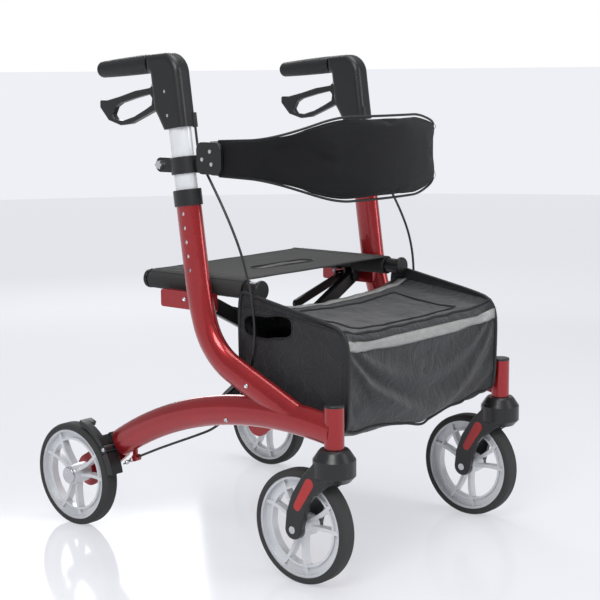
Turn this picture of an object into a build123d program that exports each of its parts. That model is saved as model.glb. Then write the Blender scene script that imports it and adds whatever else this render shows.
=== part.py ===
"""Rollator walker: folding side frames, casters, brakes, seat, bag and backrest, as separate pieces.

Frame: +Z up, the walker's front faces -Y, +X is the user's left. The origin lies on the floor,
under the middle of the whole walker. Lengths are in millimetres. "side" is -1 for the user's
right half and +1 for the left half, and every X below is a distance from the middle plane.
"""

from build123d import *
from math import asin, atan2, cos, degrees, pi, radians, sin, tan
import os

# Overall sizes
LENGTH = 759.0
FRAME_X = 253.0
REAR_WHEEL_X = 278.0

# Clearances
RUN_FIT = 0.05
SLIDE_FIT = 0.30
GAP = 1.0

# Wheels
WHEEL_D = 200.0
TYRE_W = 32.0
TYRE_DEPTH = 12.0
RIM_WEB_R = 67.0
RIM_WALL = 4.0
RIM_W = 27.0
HUB_R = 19.0
HUB_W = 38.0
SPOKE_W = 6.5
SPOKE_DEPTH = 15.0
SPOKE_PAIRS = 3
SPOKE_SPREAD = 19.0
SPOKE_ROOT_SPREAD = 24.0
AXLE_D = 10.0

# Casters
CROWN_R = 36.5
TRAIL = 66.5
STEM_D = 12.0
FORK_HALF_W = 32.0
FORK_SLOT_HALF_W = 20.0
TYRE_CLEAR = 6.0
HEAD_D = 34.0
HEAD_WALL = 2.5
HEAD_Z = 246.0
HEAD_H = 70.0
CAP_H = 4.5

# Frame tubes: an upright S-tube and an arch, both of one oval section
TUBE_LONG = 52.0
TUBE_WIDE = 36.0
TUBE_WALL = 2.2
ARCH_LONG = 54.0
ARCH_WIDE = 38.0
ARCH_R = 740.0
ARCH_TOP_Y = -215.0
ARCH_TOP_Z = 285.0
UPRIGHT_TILT = 7.8
UPRIGHT_Y = -14.0
UPRIGHT_Z = 642.0
TUBE_TOP = 16.0
HOLE_D = 8.0
HOLE_TOP_DROP = 23.0
HOLE_PITCH = 25.0
HOLE_COUNT = 5

# Handles
INNER_LONG = 46.5
INNER_WIDE = 30.5
INNER_WALL = 2.0
INNER_BELOW_BUTTON = 22.0
SHELL_HALF_W = 19.0
SHELL_ROUND = 12.0
SHELL_BOTTOM = 131.0
GRIP_START_D = 34.0
GRIP_END_D = 29.0
GRIP_LEN = 134.0
GRIP_TILT = 4.0
SPIGOT_D = 18.0
LEVER_THICK = 13.0
LEVER_PIVOT = (54.0, 843.0)
LEVER_PIN_D = 5.0
LEVER_ROUND = 3.0

# Folding cross, seat and backrest
PIVOT_X = 206.0
LOW_PIVOT_Z = 245.0
HIGH_PIVOT_Z = 457.0
BAR_THICK = 15.0
BAR_WIDE = 28.0
BAR_WALL = 2.0
BAR_PIN_D = 8.0
BAR_MID_Y = -8.5
LUG_THICK = 4.0
RAIL_Z = 486.0
RAIL_D = 28.0
RAIL_WALL = 2.0
RAIL_FRONT_Y = -145.0
RAIL_BACK_Y = 139.0
RAIL_CAP_D = 36.0
SEAT_FRONT_Y = -108.0
SEAT_BACK_Y = 128.0
SEAT_SLEEVE = 3.5
SEAT_THICK = 4.0
CLAMP_Z = 703.0
CLAMP_H = 30.0
CLAMP_WALL = 4.5
PLATE_THICK = 6.0
BAND_THICK = 12.0
BAG_HALF_W = 227.7
BAG_WALL = 2.5
CABLE_D = 4.6

AXLE_Z = WHEEL_D / 2
REAR_AXLE_Y = LENGTH / 2 - WHEEL_D / 2
STEM_Y = CROWN_R - LENGTH / 2
FRONT_AXLE_Y = STEM_Y + TRAIL
TYRE_R = WHEEL_D / 2
RIM_R = TYRE_R - TYRE_DEPTH
BAR_A_Y = BAR_MID_Y - (BAR_THICK + GAP) / 2
BAR_B_Y = BAR_MID_Y + (BAR_THICK + GAP) / 2
# Lesser sizes of the frame, handles, wheels, brakes, cross, backrest and bag
HOLE_BASE = -HOLE_TOP_DROP - HOLE_PITCH * (HOLE_COUNT - 1)
TUBE_KNEE = (-39.6, 455.0)
TUBE_BEND = (-69.7, 371.3)
TUBE_FOOT = (-272.0, 281.0)
KNEE_R = 440.0
BEND_R = 125.0
ARCH_BACK_Y = REAR_AXLE_Y - 101.5
DROPOUT_X = 246.0
DROPOUT_THICK = 8.0
DROPOUT_R = 31.0
BRACKET_X = 233.0
BRACKET_THICK = 14.0
BRACKET_FACE_X = BRACKET_X - BRACKET_THICK / 2
EAR_IN_X = 204.0
BRACKET_BACK_Y = 75.0
BRACKET_FRONT_Y = -55.0
BRACKET_LOW_Z = 443.0
BRACKET_HIGH_Z = 475.0
LUG_R = 12.0
BOSS_D = 13.0
BOSS_Y = 138.0
BOSS_Z = 149.0
BUTTON_D = 7.4
BUTTON_PROUD = 0.35
LEAF_DEPTH = 6.5
SHELL_FRONT = (-23.5, 772.0)
SHELL_CREST = (-6.0, 901.4)
SHELL_NECK_Y = 72.0
NECK_TOP = 896.8
NECK_D = 32.6
SHELL_CREASE = (61.0, 864.6)
SHELL_WAIST = (53.0, 800.0)
SHELL_HEEL = (43.0, 785.0)
SHELL_BACK = (30.5, 764.6)
CREST_R = 38.0
SCREW_D = 6.5
SHELL_SCREWS = ((22.0, 832.0), (16.0, 790.0))
END_ROUND = 9.0
SPOKE_START = 41.0
AXLE_HEAD_D = 13.0
AXLE_HEAD_H = 3.0
AXLE_RECESS = 2.0
WASHER_GAP = 0.3
HUB_CAP_H = 6.0
CROWN_TOP_Z = HEAD_Z - GAP
CROWN_LOW_Z = 190.0
CROWN_NECK_R = 24.0
CROWN_SHOULDER_Z = 228.0
ARM_END_R = 17.5
FORK_EDGE = 4.0
INSERT_DEPTH = 1.5
INSERT_BOTTOM = (FRONT_AXLE_Y - 11.5, AXLE_Z + 43.0)
INSERT_TOP = (FRONT_AXLE_Y - 37.5, AXLE_Z + 86.0)
INSERT_BOTTOM_R = 7.5
INSERT_TOP_R = 9.5
BRAKE_PIVOT = (REAR_AXLE_Y - 92.5, AXLE_Z + 63.5)
PAD_GAP = 3.0
PAD_DEPTH = 14.0
BRAKE_IN_X = 264.0
BRAKE_OUT_X = 292.0
BRAKE_PIN_D = 8.0
GUARD_GAP = 6.0
GUARD_DEPTH = 9.0
CABLE_ROUTE = [
    (241, -19.8, 795), (241, -23.2, 770), (241, -30.5, 717), (241.5, -57, 678), (242, -82, 641),
    (243, -108, 599), (243, -131, 553), (241, -144, 507), (236, -150, 459), (232, -150, 409),
    (231, -140, 358), (231, -119, 309), (231.5, -90, 266), (237, -54, 232), (244, -10, 212.5),
    (251, 36, 193.5), (253, 84, 173.5), (253, 131.4, 152),
]
CROSS_Z = (LOW_PIVOT_Z + HIGH_PIVOT_Z) / 2
LINK_Y = 17.0
LINK_THICK = 6.0
LINK_WIDE = 16.0
LINK_Z = 453.0
LINK_REACH = 138.0
LINK_DROP = 40.0
LINK_PIN_X = 214.0
BAND_BACK_Y = -58.0
BAND_CORNER = (-240.0, -228.0)
BAND_NOSE_Y = -277.0
BAND_CORNER_R = 105.0
BAND_NOSE_R = 520.0
BAND_END_LOW = 693.0
BAND_END_HIGH = 741.0
BAND_LOW = 640.0
BAND_HIGH = 786.0
EAR_Y = 44.0
EAR_HALF_W = 9.0
KNOB_D = 13.0
PLATE_X = 253.3
PLATE_MIDDLE = (-70.5, 717.0)
PLATE_SIZE = (59.0, 56.0)
RIVETS = ((-57.0, 715.0), (-76.0, 729.0), (-79.0, 707.0))
RIVET_D = 7.0
BAG_BACK_Y = -104.0
BAG_LID_BACK = (-130.0, 462.0)
BAG_LID_FRONT = (-338.0, 437.0)
BAG_FRONT_Y = -354.0
BAG_LOW_Z = 257.0
BAG_PEAK_Z = 488.0
BAG_SLOT_MIDDLE = (-171.0, 426.0)
BAG_SLOT_SIZE = (118.0, 44.0)

os.makedirs("parts", exist_ok=True)


def write(piece, name):
    """Label a finished piece and write it as one STEP file."""
    piece.part.label = name
    export_step(piece.part, f"parts/{name}.step")


def side_name(side):
    return "right" if side < 0 else "left"


def side_plane(x):
    """The plane square to X: its own x runs along Y and its own y along Z."""
    return Plane.YZ.offset(x)


def upright_point(distance):
    """(Y, Z) on the upright's axis, this far above the collar's seat."""
    tilt = radians(UPRIGHT_TILT)
    return UPRIGHT_Y + distance * sin(tilt), UPRIGHT_Z + distance * cos(tilt)


def upright_plane(side, distance):
    """The plane square to the upright; its own y points to the rear."""
    y, z = upright_point(distance)
    tilt = radians(UPRIGHT_TILT)
    return Plane(origin=(side * FRAME_X, y, z), x_dir=(1, 0, 0), z_dir=(0, sin(tilt), cos(tilt)))


def upright_oval(side, low, high, long_d, wide_d, mode=Mode.ADD):
    """An oval prism along the upright, into the part block that calls it."""
    with BuildSketch(upright_plane(side, low)) as oval:
        Ellipse(wide_d / 2, long_d / 2)
    extrude(oval.sketch, amount=high - low, mode=mode)


def rod(x0, x1, y, z, diameter, mode=Mode.ADD):
    """A round rod along X from x0 to x1, into the part block that calls it."""
    with BuildSketch(side_plane(min(x0, x1))) as disc:
        with Locations((y, z)):
            Circle(diameter / 2)
    extrude(disc.sketch, amount=abs(x1 - x0), mode=mode)


def rod_y(x, z, y0, y1, diameter, mode=Mode.ADD):
    """A round rod along Y from y0 to y1, into the part block that calls it."""
    with BuildSketch(Plane(origin=(x, y0, z), x_dir=(1, 0, 0), z_dir=(0, 1, 0))) as disc:
        Circle(diameter / 2)
    extrude(disc.sketch, amount=y1 - y0, mode=mode)


def rod_between(start, end, diameter, mode=Mode.ADD):
    """A round rod from one point to another, into the part block that calls it."""
    with BuildSketch(Plane(origin=start, z_dir=end - start)) as disc:
        Circle(diameter / 2)
    extrude(disc.sketch, amount=(end - start).length, mode=mode)


# ---------------------------------------------------------------- side frame


def tube_sweep(top, long_d, wide_d):
    """The S-tube's oval swept from this far up the upright down and forward into the arch, at X = 0."""
    corners = [upright_point(top), TUBE_KNEE, TUBE_BEND, TUBE_FOOT]
    points = [(0, *corner) for corner in corners]
    with BuildPart() as tube:
        with BuildLine() as path:
            FilletPolyline(*points, radius=[KNEE_R, BEND_R])
        with BuildSketch(Plane(origin=points[0], x_dir=(1, 0, 0), z_dir=path.line % 0)):
            Ellipse(wide_d / 2, long_d / 2)
        sweep(path=path.line, transition=Transition.ROUND)
    return tube.part


def arch_sweep(side, long_d, wide_d, front_y, back_y):
    """The arch's oval turned about its own centre from one Y to another."""
    pivot_z = ARCH_TOP_Z - ARCH_R
    front_angle = degrees(asin((ARCH_TOP_Y - front_y) / ARCH_R))
    back_angle = degrees(asin((back_y - ARCH_TOP_Y) / ARCH_R))
    heading = (0, cos(radians(front_angle)), sin(radians(front_angle)))
    start = (side * FRAME_X, *arch_point(front_y))
    with BuildSketch(Plane(origin=start, x_dir=(1, 0, 0), z_dir=heading)) as oval:
        Ellipse(wide_d / 2, long_d / 2)
    pivot = Axis((side * FRAME_X, ARCH_TOP_Y, pivot_z), (-1, 0, 0))
    revolve(oval.sketch, axis=pivot, revolution_arc=front_angle + back_angle)


def arch_point(y):
    """(Y, Z) of the arch's axis at this Y."""
    return y, ARCH_TOP_Z - ARCH_R + (ARCH_R**2 - (y - ARCH_TOP_Y) ** 2) ** 0.5


def bar_mid_y(side):
    """Y of the cross bar whose foot stands on this side's frame."""
    return BAR_A_Y if side < 0 else BAR_B_Y


def lug_ys(bar_y):
    """Where the two lugs beside a bar start, front one first."""
    inner = BAR_THICK / 2 + GAP
    return bar_y - inner - LUG_THICK, bar_y + inner


def side_frame(side):
    """The welded frame of one side: S-tube, arch, head tube, dropout, bracket and pivot lugs."""
    x = side * FRAME_X
    head_inner = HEAD_D - 2 * HEAD_WALL
    thin = 2 * TUBE_WALL
    tube = tube_sweep(TUBE_TOP, TUBE_LONG, TUBE_WIDE)
    tube_bore = tube_sweep(TUBE_TOP + GAP, TUBE_LONG - thin, TUBE_WIDE - thin)
    with BuildPart() as bores:
        with Locations((x, 0, 0)):
            add(tube_bore)
        arch_sweep(side, ARCH_LONG - thin, ARCH_WIDE - thin, STEM_Y + HEAD_D / 2, ARCH_BACK_Y - 3)
    with BuildPart() as frame:
        with Locations((x, 0, 0)):
            add(tube)
        arch_sweep(side, ARCH_LONG, ARCH_WIDE, STEM_Y, ARCH_BACK_Y)
        with BuildSketch(Plane.XY.offset(HEAD_Z)):
            with Locations((x, STEM_Y)):
                Circle(HEAD_D / 2)
        extrude(amount=HEAD_H)
        # dropout plate for the rear axle
        with BuildSketch(side_plane(side * DROPOUT_X)):
            with Locations((REAR_AXLE_Y, AXLE_Z)):
                Circle(DROPOUT_R)
            with Locations((ARCH_BACK_Y + 8, AXLE_Z + 63)):
                Circle(23)
            make_hull()
        extrude(amount=DROPOUT_THICK / 2, both=True)
        # bracket across the upright under the seat rail
        with BuildSketch(side_plane(side * BRACKET_X)):
            with Locations(((BRACKET_BACK_Y + BRACKET_FRONT_Y) / 2, (BRACKET_LOW_Z + BRACKET_HIGH_Z) / 2)):
                RectangleRounded(BRACKET_BACK_Y - BRACKET_FRONT_Y, BRACKET_HIGH_Z - BRACKET_LOW_Z, 5)
        extrude(amount=BRACKET_THICK / 2, both=True)
        # lugs for the cross bar's foot, welded to the arch
        for y in lug_ys(bar_mid_y(side)):
            with BuildSketch(Plane.XZ.offset(-y)):
                with Locations((side * PIVOT_X, LOW_PIVOT_Z)):
                    Circle(LUG_R)
                with Locations((side * (FRAME_X - 12), arch_point(y)[1])):
                    Circle(LUG_R)
                make_hull()
            extrude(amount=-LUG_THICK)
        # stop for the brake cable's sheath, on a web under the arch
        with BuildSketch(side_plane(x)):
            with Locations((BOSS_Y, BOSS_Z)):
                Circle(BOSS_D / 2)
        extrude(amount=BOSS_D / 2, both=True)
        with BuildSketch(side_plane(x)):
            with Locations((BOSS_Y + 3, BOSS_Z + 14)):
                Rectangle(9, 26)
        extrude(amount=2.5, both=True)
        # bores
        add(bores.part, mode=Mode.SUBTRACT)
        with BuildSketch(Plane.XY.offset(HEAD_Z)):
            with Locations((x, STEM_Y)):
                Circle(head_inner / 2)
        extrude(amount=HEAD_H, mode=Mode.SUBTRACT)
        rod(side * (DROPOUT_X - 10), side * (DROPOUT_X + 10), REAR_AXLE_Y, AXLE_Z, AXLE_D, Mode.SUBTRACT)
        for y in lug_ys(bar_mid_y(side)):
            rod_y(
                side * PIVOT_X,
                LOW_PIVOT_Z,
                y - GAP,
                y + LUG_THICK + GAP,
                BAR_PIN_D + 2 * RUN_FIT,
                Mode.SUBTRACT,
            )
        for step in range(HOLE_COUNT):
            y, z = upright_point(HOLE_BASE + HOLE_PITCH * step)
            rod(x, x + side * TUBE_WIDE, y, z, HOLE_D, Mode.SUBTRACT)
    write(frame, f"side_frame_{side_name(side)}")


def frame_fittings(side):
    """Head bearings and cap, and the ear with the pin on which the guide link turns."""
    x = side * FRAME_X
    inner = HEAD_D - 2 * HEAD_WALL
    bearing_h = 11.0
    with BuildPart() as fittings:
        for low in (HEAD_Z, HEAD_Z + HEAD_H - bearing_h):
            with BuildSketch(Plane.XY.offset(low)):
                with Locations((x, STEM_Y)):
                    Circle(inner / 2)
                    Circle(STEM_D / 2 + RUN_FIT, mode=Mode.SUBTRACT)
            extrude(amount=bearing_h)
        with BuildSketch(Plane.XY.offset(HEAD_Z + HEAD_H)):
            with Locations((x, STEM_Y)):
                Circle(HEAD_D / 2)
        extrude(amount=CAP_H)
        fillet(fittings.edges().group_by(Axis.Z)[-1], 2.5)
        with BuildSketch(Plane.XY.offset(HEAD_Z + HEAD_H)):
            with Locations((x, STEM_Y)):
                Circle(inner / 2 - 1)
        extrude(amount=1.5, mode=Mode.SUBTRACT)
        with BuildSketch(bar_plane(LINK_Y + LINK_THICK + GAP / 2)):
            with Locations((side * (EAR_IN_X + BRACKET_FACE_X) / 2, LINK_Z)):
                Rectangle(BRACKET_FACE_X - EAR_IN_X, 2 * LUG_R - 2)
        extrude(amount=-LUG_THICK)
        rod_y(side * LINK_PIN_X, LINK_Z, LINK_Y - 2, LINK_Y + LINK_THICK + LUG_THICK, BAR_PIN_D)
    write(fittings, f"frame_fittings_{side_name(side)}")


def collar(side):
    """The plastic collar that guides the inner tube at the upright's mouth."""
    with BuildPart() as ring:
        upright_oval(side, -10, TUBE_TOP + 3, TUBE_LONG + 6, TUBE_WIDE + 6)
        fillet(ring.edges().filter_by(GeomType.ELLIPSE), 1.5)
        upright_oval(side, -10, TUBE_TOP, TUBE_LONG, TUBE_WIDE, Mode.SUBTRACT)
        mouth = 2 * SLIDE_FIT
        upright_oval(side, 0, TUBE_TOP + 6, INNER_LONG + mouth, INNER_WIDE + mouth, Mode.SUBTRACT)
    write(ring, f"collar_{side_name(side)}")


# ---------------------------------------------------------------- handles


def handle_tube(side):
    """The white inner tube that sets the handle's height."""
    low = HOLE_BASE - INNER_BELOW_BUTTON
    x = side * FRAME_X
    y, z = upright_point(HOLE_BASE)
    with BuildPart() as tube:
        upright_oval(side, low, SHELL_BOTTOM + 85, INNER_LONG, INNER_WIDE)
        inner_long = INNER_LONG - 2 * INNER_WALL
        inner_wide = INNER_WIDE - 2 * INNER_WALL
        upright_oval(side, low, SHELL_BOTTOM + 85, inner_long, inner_wide, Mode.SUBTRACT)
        rod(x, x + side * INNER_WIDE, y, z, BUTTON_D + 2 * SLIDE_FIT, Mode.SUBTRACT)
    write(tube, f"handle_tube_{side_name(side)}")


def height_button(side):
    """The snap button, drawn in so that the tube can slide, with its leaf inside the tube."""
    x = side * FRAME_X
    y, z = upright_point(HOLE_BASE)
    wall = INNER_WIDE / 2 - INNER_WALL
    tip = INNER_WIDE / 2 + BUTTON_PROUD
    with BuildPart() as button:
        rod(x + side * (wall - LEAF_DEPTH), x + side * tip, y, z, BUTTON_D)
        fillet(button.edges().group_by(Axis.X)[0 if side < 0 else -1], 1.8)
        rod(x + side * (wall - LEAF_DEPTH - 1), x + side * (wall - LEAF_DEPTH + 1), y, z, BUTTON_D + 4)
    write(button, f"height_button_{side_name(side)}")


def neck_bottom():
    """The neck's lower corner; its end face is square to the grip."""
    tilt = radians(GRIP_TILT)
    return SHELL_NECK_Y - NECK_D * sin(tilt), NECK_TOP - NECK_D * cos(tilt)


def shell_outline():
    """The handle housing's edges in side view."""
    with BuildLine() as outline:
        crest = FilletPolyline(
            SHELL_FRONT, SHELL_CREST, (SHELL_NECK_Y, NECK_TOP), radius=CREST_R
        )
        Line(crest @ 1, neck_bottom())
        under = FilletPolyline(
            neck_bottom(), SHELL_CREASE, SHELL_WAIST, SHELL_HEEL, SHELL_BACK,
            radius=[5, 12, 12],
        )
        Line(under @ 1, crest @ 0)
    return outline.edges()


def grip_axis():
    """Start point and direction of the grip's axis in its (Y, Z) plane."""
    tilt = radians(GRIP_TILT)
    low_y, low_z = neck_bottom()
    return ((SHELL_NECK_Y + low_y) / 2, (NECK_TOP + low_z) / 2), (cos(tilt), -sin(tilt))


def grip_plane(side, distance=0.0):
    """The plane square to the grip, this far along it."""
    (y, z), (dy, dz) = grip_axis()
    origin = (side * FRAME_X, y + distance * dy, z + distance * dz)
    return Plane(origin=origin, x_dir=(1, 0, 0), z_dir=(0, dy, dz))


def handle_shells(side):
    """The two moulded halves of the handle housing, split along the tube."""
    x = side * FRAME_X
    pivot_y, pivot_z = LEVER_PIVOT
    cable_start, cable_exit = (Vector(side * p[0], p[1], p[2]) for p in CABLE_ROUTE[:2])
    for half, reach in (("outer", side), ("inner", -side)):
        with BuildPart() as shell:
            with BuildSketch(side_plane(x)):
                make_face(shell_outline())
            extrude(amount=reach * SHELL_HALF_W)
            far_face = shell.faces().filter_by(Axis.X).sort_by(Axis.X)[-1 if reach > 0 else 0]
            rim = far_face.edges().sort_by(Axis.Z)[1:]
            fillet(rim.filter_by(lambda e: e.center().Y < SHELL_NECK_Y - 1), SHELL_ROUND)
            if half == "inner":
                rod_between(cable_start, cable_exit, CABLE_D + 5)
                bore_end = cable_start + (cable_start - cable_exit) * 0.05
                rod_between(bore_end, cable_exit, CABLE_D + 2 * SLIDE_FIT, Mode.SUBTRACT)
            upright_oval(side, 100, SHELL_BOTTOM + 85, INNER_LONG, INNER_WIDE, Mode.SUBTRACT)
            # slot for the lever's root
            slot = LEVER_THICK / 2 + 0.6
            with BuildSketch(side_plane(x)):
                with BuildLine():
                    Polyline((43, 852), (70, 852), (70, 790), (43, 790), close=True)
                make_face()
            extrude(amount=reach * slot, mode=Mode.SUBTRACT)
            rod(x, x + reach * SHELL_HALF_W, pivot_y, pivot_z, LEVER_PIN_D, Mode.SUBTRACT)
            for hole_y, hole_z in SHELL_SCREWS:
                if reach == side:
                    rod(
                        x + reach * (SHELL_HALF_W - 3), x + reach * (SHELL_HALF_W + 1),
                        hole_y, hole_z, SCREW_D, Mode.SUBTRACT,
                    )
        write(shell, f"handle_shell_{half}_{side_name(side)}")


def handle_screws(side):
    """The housing's screw heads and the pin on which the lever turns."""
    x = side * FRAME_X
    pivot_y, pivot_z = LEVER_PIVOT
    with BuildPart() as screws:
        for y, z in SHELL_SCREWS:
            rod(x + side * (SHELL_HALF_W - 3), x + side * (SHELL_HALF_W - 1), y, z, SCREW_D)
        rod(x - SHELL_HALF_W + 3, x + SHELL_HALF_W - 3, pivot_y, pivot_z, LEVER_PIN_D)
    write(screws, f"handle_screws_{side_name(side)}")


def grip(side):
    """The rubber grip: a slight taper to a rounded end."""
    r0 = GRIP_START_D / 2
    r1 = GRIP_END_D / 2
    plane = grip_plane(side)
    with BuildPart() as rubber:
        with BuildSketch(Plane(origin=plane.origin, x_dir=(1, 0, 0), z_dir=plane.y_dir)):
            with BuildLine():
                swell = ThreePointArc((r0, 0), ((r0 + r1) / 2 + 0.8, -GRIP_LEN / 2), (r1, -GRIP_LEN))
                Polyline(swell @ 1, (0, -GRIP_LEN), (0, 0), swell @ 0)
            make_face()
        revolve(axis=Axis(plane.origin, plane.z_dir))
        fillet(rubber.edges().sort_by(Axis.Y)[-1], END_ROUND)
    write(rubber, f"grip_{side_name(side)}")


def brake_lever(side):
    """The loop lever, turning on its pin under the grip."""
    x = side * FRAME_X
    outer = [
        (48, 849), (60, 847), (72, 838), (110, 833), (150, 823), (184, 816), (204, 816),
        (204, 803), (182, 780), (150, 771), (124, 774), (90, 787), (60, 799), (50, 802), (48, 815),
    ]
    inner = [
        (72, 827), (66, 820), (68, 808), (84, 800), (114, 787), (145, 779),
        (164, 781), (171, 790), (163, 804), (150, 811), (112, 820), (86, 825),
    ]
    with BuildPart() as lever:
        with BuildSketch(side_plane(x)):
            with BuildLine():
                Polyline(*outer, close=True)
            make_face()
            with BuildLine():
                Polyline(*inner, close=True)
            make_face(mode=Mode.SUBTRACT)
            fillet(vertices(), LEVER_ROUND)
        extrude(amount=LEVER_THICK / 2, both=True)
        pivot_y, pivot_z = LEVER_PIVOT
        bore = LEVER_PIN_D + 2 * RUN_FIT
        rod(x - LEVER_THICK, x + LEVER_THICK, pivot_y, pivot_z, bore, Mode.SUBTRACT)
        chamfer(lever.faces().filter_by(Axis.X).edges().filter_by(GeomType.CIRCLE, reverse=True), 1.2)
    write(lever, f"brake_lever_{side_name(side)}")


# ---------------------------------------------------------------- wheels


def wheel_rim(x, y, name):
    """A moulded rim: ring, web, curved spoke pairs and hub."""
    ring_low = RIM_R - RIM_WALL
    with BuildPart() as rim:
        with BuildSketch(side_plane(x)):
            with Locations((y, AXLE_Z)):
                Circle(RIM_R)
                Circle(ring_low, mode=Mode.SUBTRACT)
        extrude(amount=RIM_W / 2, both=True)
        with BuildSketch(side_plane(x)):
            with Locations((y, AXLE_Z)):
                Circle(ring_low + 1)
                Circle(RIM_WEB_R, mode=Mode.SUBTRACT)
        extrude(amount=RIM_WALL / 2 + 1, both=True)
        with BuildSketch(side_plane(x)):
            with Locations((y, AXLE_Z)):
                Circle(RIM_WEB_R + RIM_WALL)
                Circle(RIM_WEB_R, mode=Mode.SUBTRACT)
        extrude(amount=SPOKE_DEPTH / 2, both=True)
        with BuildSketch(side_plane(x)):
            with Locations((y, AXLE_Z)):
                with PolarLocations(0, SPOKE_PAIRS, start_angle=SPOKE_START):
                    for hand in (-1, 1):
                        SlotArc(spoke_arc(hand), SPOKE_W)
        extrude(amount=SPOKE_DEPTH / 2, both=True)
        rod(x - HUB_W / 2, x + HUB_W / 2, y, AXLE_Z, 2 * HUB_R)
        rod(x - HUB_W, x + HUB_W, y, AXLE_Z, AXLE_D + 2 * RUN_FIT, Mode.SUBTRACT)
    write(rim, name)


def spoke_arc(hand):
    """One spoke's centre line about the hub: it leaves with its twin and bows away from it."""
    root = radians(hand * SPOKE_ROOT_SPREAD)
    tip = radians(hand * SPOKE_SPREAD)
    middle = radians(hand * (SPOKE_SPREAD - 4.0))
    r_root = HUB_R - 3.0
    r_tip = RIM_R - RIM_WALL / 2 - SPOKE_W / 2
    r_mid = (r_root + r_tip) / 2
    with BuildLine() as arc:
        ThreePointArc(
            (r_root * cos(root), r_root * sin(root)),
            (r_mid * cos(middle), r_mid * sin(middle)),
            (r_tip * cos(tip), r_tip * sin(tip)),
        )
    return arc.edge()


def wheel_tyre(x, y, name):
    """A grey-black tyre with rounded shoulders, seated on the rim."""
    with BuildPart() as tyre:
        rod(x - TYRE_W / 2, x + TYRE_W / 2, y, AXLE_Z, WHEEL_D)
        fillet(tyre.edges().filter_by(GeomType.CIRCLE), 8.0)
        rod(x - TYRE_W, x + TYRE_W, y, AXLE_Z, 2 * RIM_R, Mode.SUBTRACT)
    write(tyre, name)


def wheels(side):
    """Front and rear wheel of one side, each with its axle bolt."""
    label = side_name(side)
    front_x = side * FRAME_X
    rear_x = side * REAR_WHEEL_X
    wheel_rim(front_x, FRONT_AXLE_Y, f"front_rim_{label}")
    wheel_tyre(front_x, FRONT_AXLE_Y, f"front_tyre_{label}")
    wheel_rim(rear_x, REAR_AXLE_Y, f"rear_rim_{label}")
    wheel_tyre(rear_x, REAR_AXLE_Y, f"rear_tyre_{label}")
    head = AXLE_HEAD_H
    with BuildPart() as front_axle:
        rod(front_x - FORK_HALF_W, front_x + FORK_HALF_W, FRONT_AXLE_Y, AXLE_Z, AXLE_D)
        for hand in (-1, 1):
            seat = front_x + hand * (FORK_HALF_W - AXLE_RECESS)
            rod(seat, seat + hand * head, FRONT_AXLE_Y, AXLE_Z, AXLE_HEAD_D)
            inner = front_x + hand * HUB_W / 2
            rod(inner + hand * WASHER_GAP, front_x + hand * FORK_SLOT_HALF_W, FRONT_AXLE_Y, AXLE_Z, AXLE_D + 8)
    write(front_axle, f"front_axle_{label}")
    hub_in = REAR_WHEEL_X - HUB_W / 2
    hub_out = REAR_WHEEL_X + HUB_W / 2
    plate_in = DROPOUT_X - DROPOUT_THICK / 2
    plate_out = DROPOUT_X + DROPOUT_THICK / 2
    with BuildPart() as rear_axle:
        rod(side * (plate_in - head), side * plate_in, REAR_AXLE_Y, AXLE_Z, AXLE_HEAD_D)
        rod(side * plate_in, side * (hub_out + GAP), REAR_AXLE_Y, AXLE_Z, AXLE_D)
        rod(side * plate_out, side * (hub_in - WASHER_GAP), REAR_AXLE_Y, AXLE_Z, AXLE_D + 8)
        rod(side * (hub_out + WASHER_GAP), side * (hub_out + HUB_CAP_H), REAR_AXLE_Y, AXLE_Z, 2 * HUB_R - 6)
        fillet(rear_axle.edges().group_by(Axis.X)[0 if side < 0 else -1], 2.0)
    write(rear_axle, f"rear_axle_{label}")


# ---------------------------------------------------------------- casters


def fork_outline():
    """The fork in side view: a crown ahead, arms that run down and back to the axle."""
    with BuildLine() as outline:
        back = Polyline(
            (FRONT_AXLE_Y + ARM_END_R, AXLE_Z + 2), (FRONT_AXLE_Y + 14.5, AXLE_Z + 30),
            (FRONT_AXLE_Y + 1.5, AXLE_Z + 64), (STEM_Y + 46, CROWN_LOW_Z + 7),
            (STEM_Y + 25, CROWN_LOW_Z + 29), (STEM_Y + 12, CROWN_TOP_Z - 9), (STEM_Y - 12, CROWN_TOP_Z - 9),
        )
        front = Polyline(
            back @ 1, (STEM_Y - 14, CROWN_LOW_Z), (STEM_Y + 3, CROWN_LOW_Z - 12),
            (FRONT_AXLE_Y - 45.5, AXLE_Z + 66), (FRONT_AXLE_Y - 33.5, AXLE_Z + 52),
            (FRONT_AXLE_Y - 26.5, AXLE_Z + 34), (FRONT_AXLE_Y - ARM_END_R, AXLE_Z + 2),
        )
        ThreePointArc(front @ 1, (FRONT_AXLE_Y, AXLE_Z - ARM_END_R), back @ 0)
    return outline.edges()


def insert_face(side_plane_x):
    """The teardrop panel's face on an arm."""
    with BuildSketch(side_plane(side_plane_x)) as face:
        with Locations(INSERT_BOTTOM):
            Circle(INSERT_BOTTOM_R)
        with Locations(INSERT_TOP):
            Circle(INSERT_TOP_R)
        make_hull()
    return face.sketch


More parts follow.
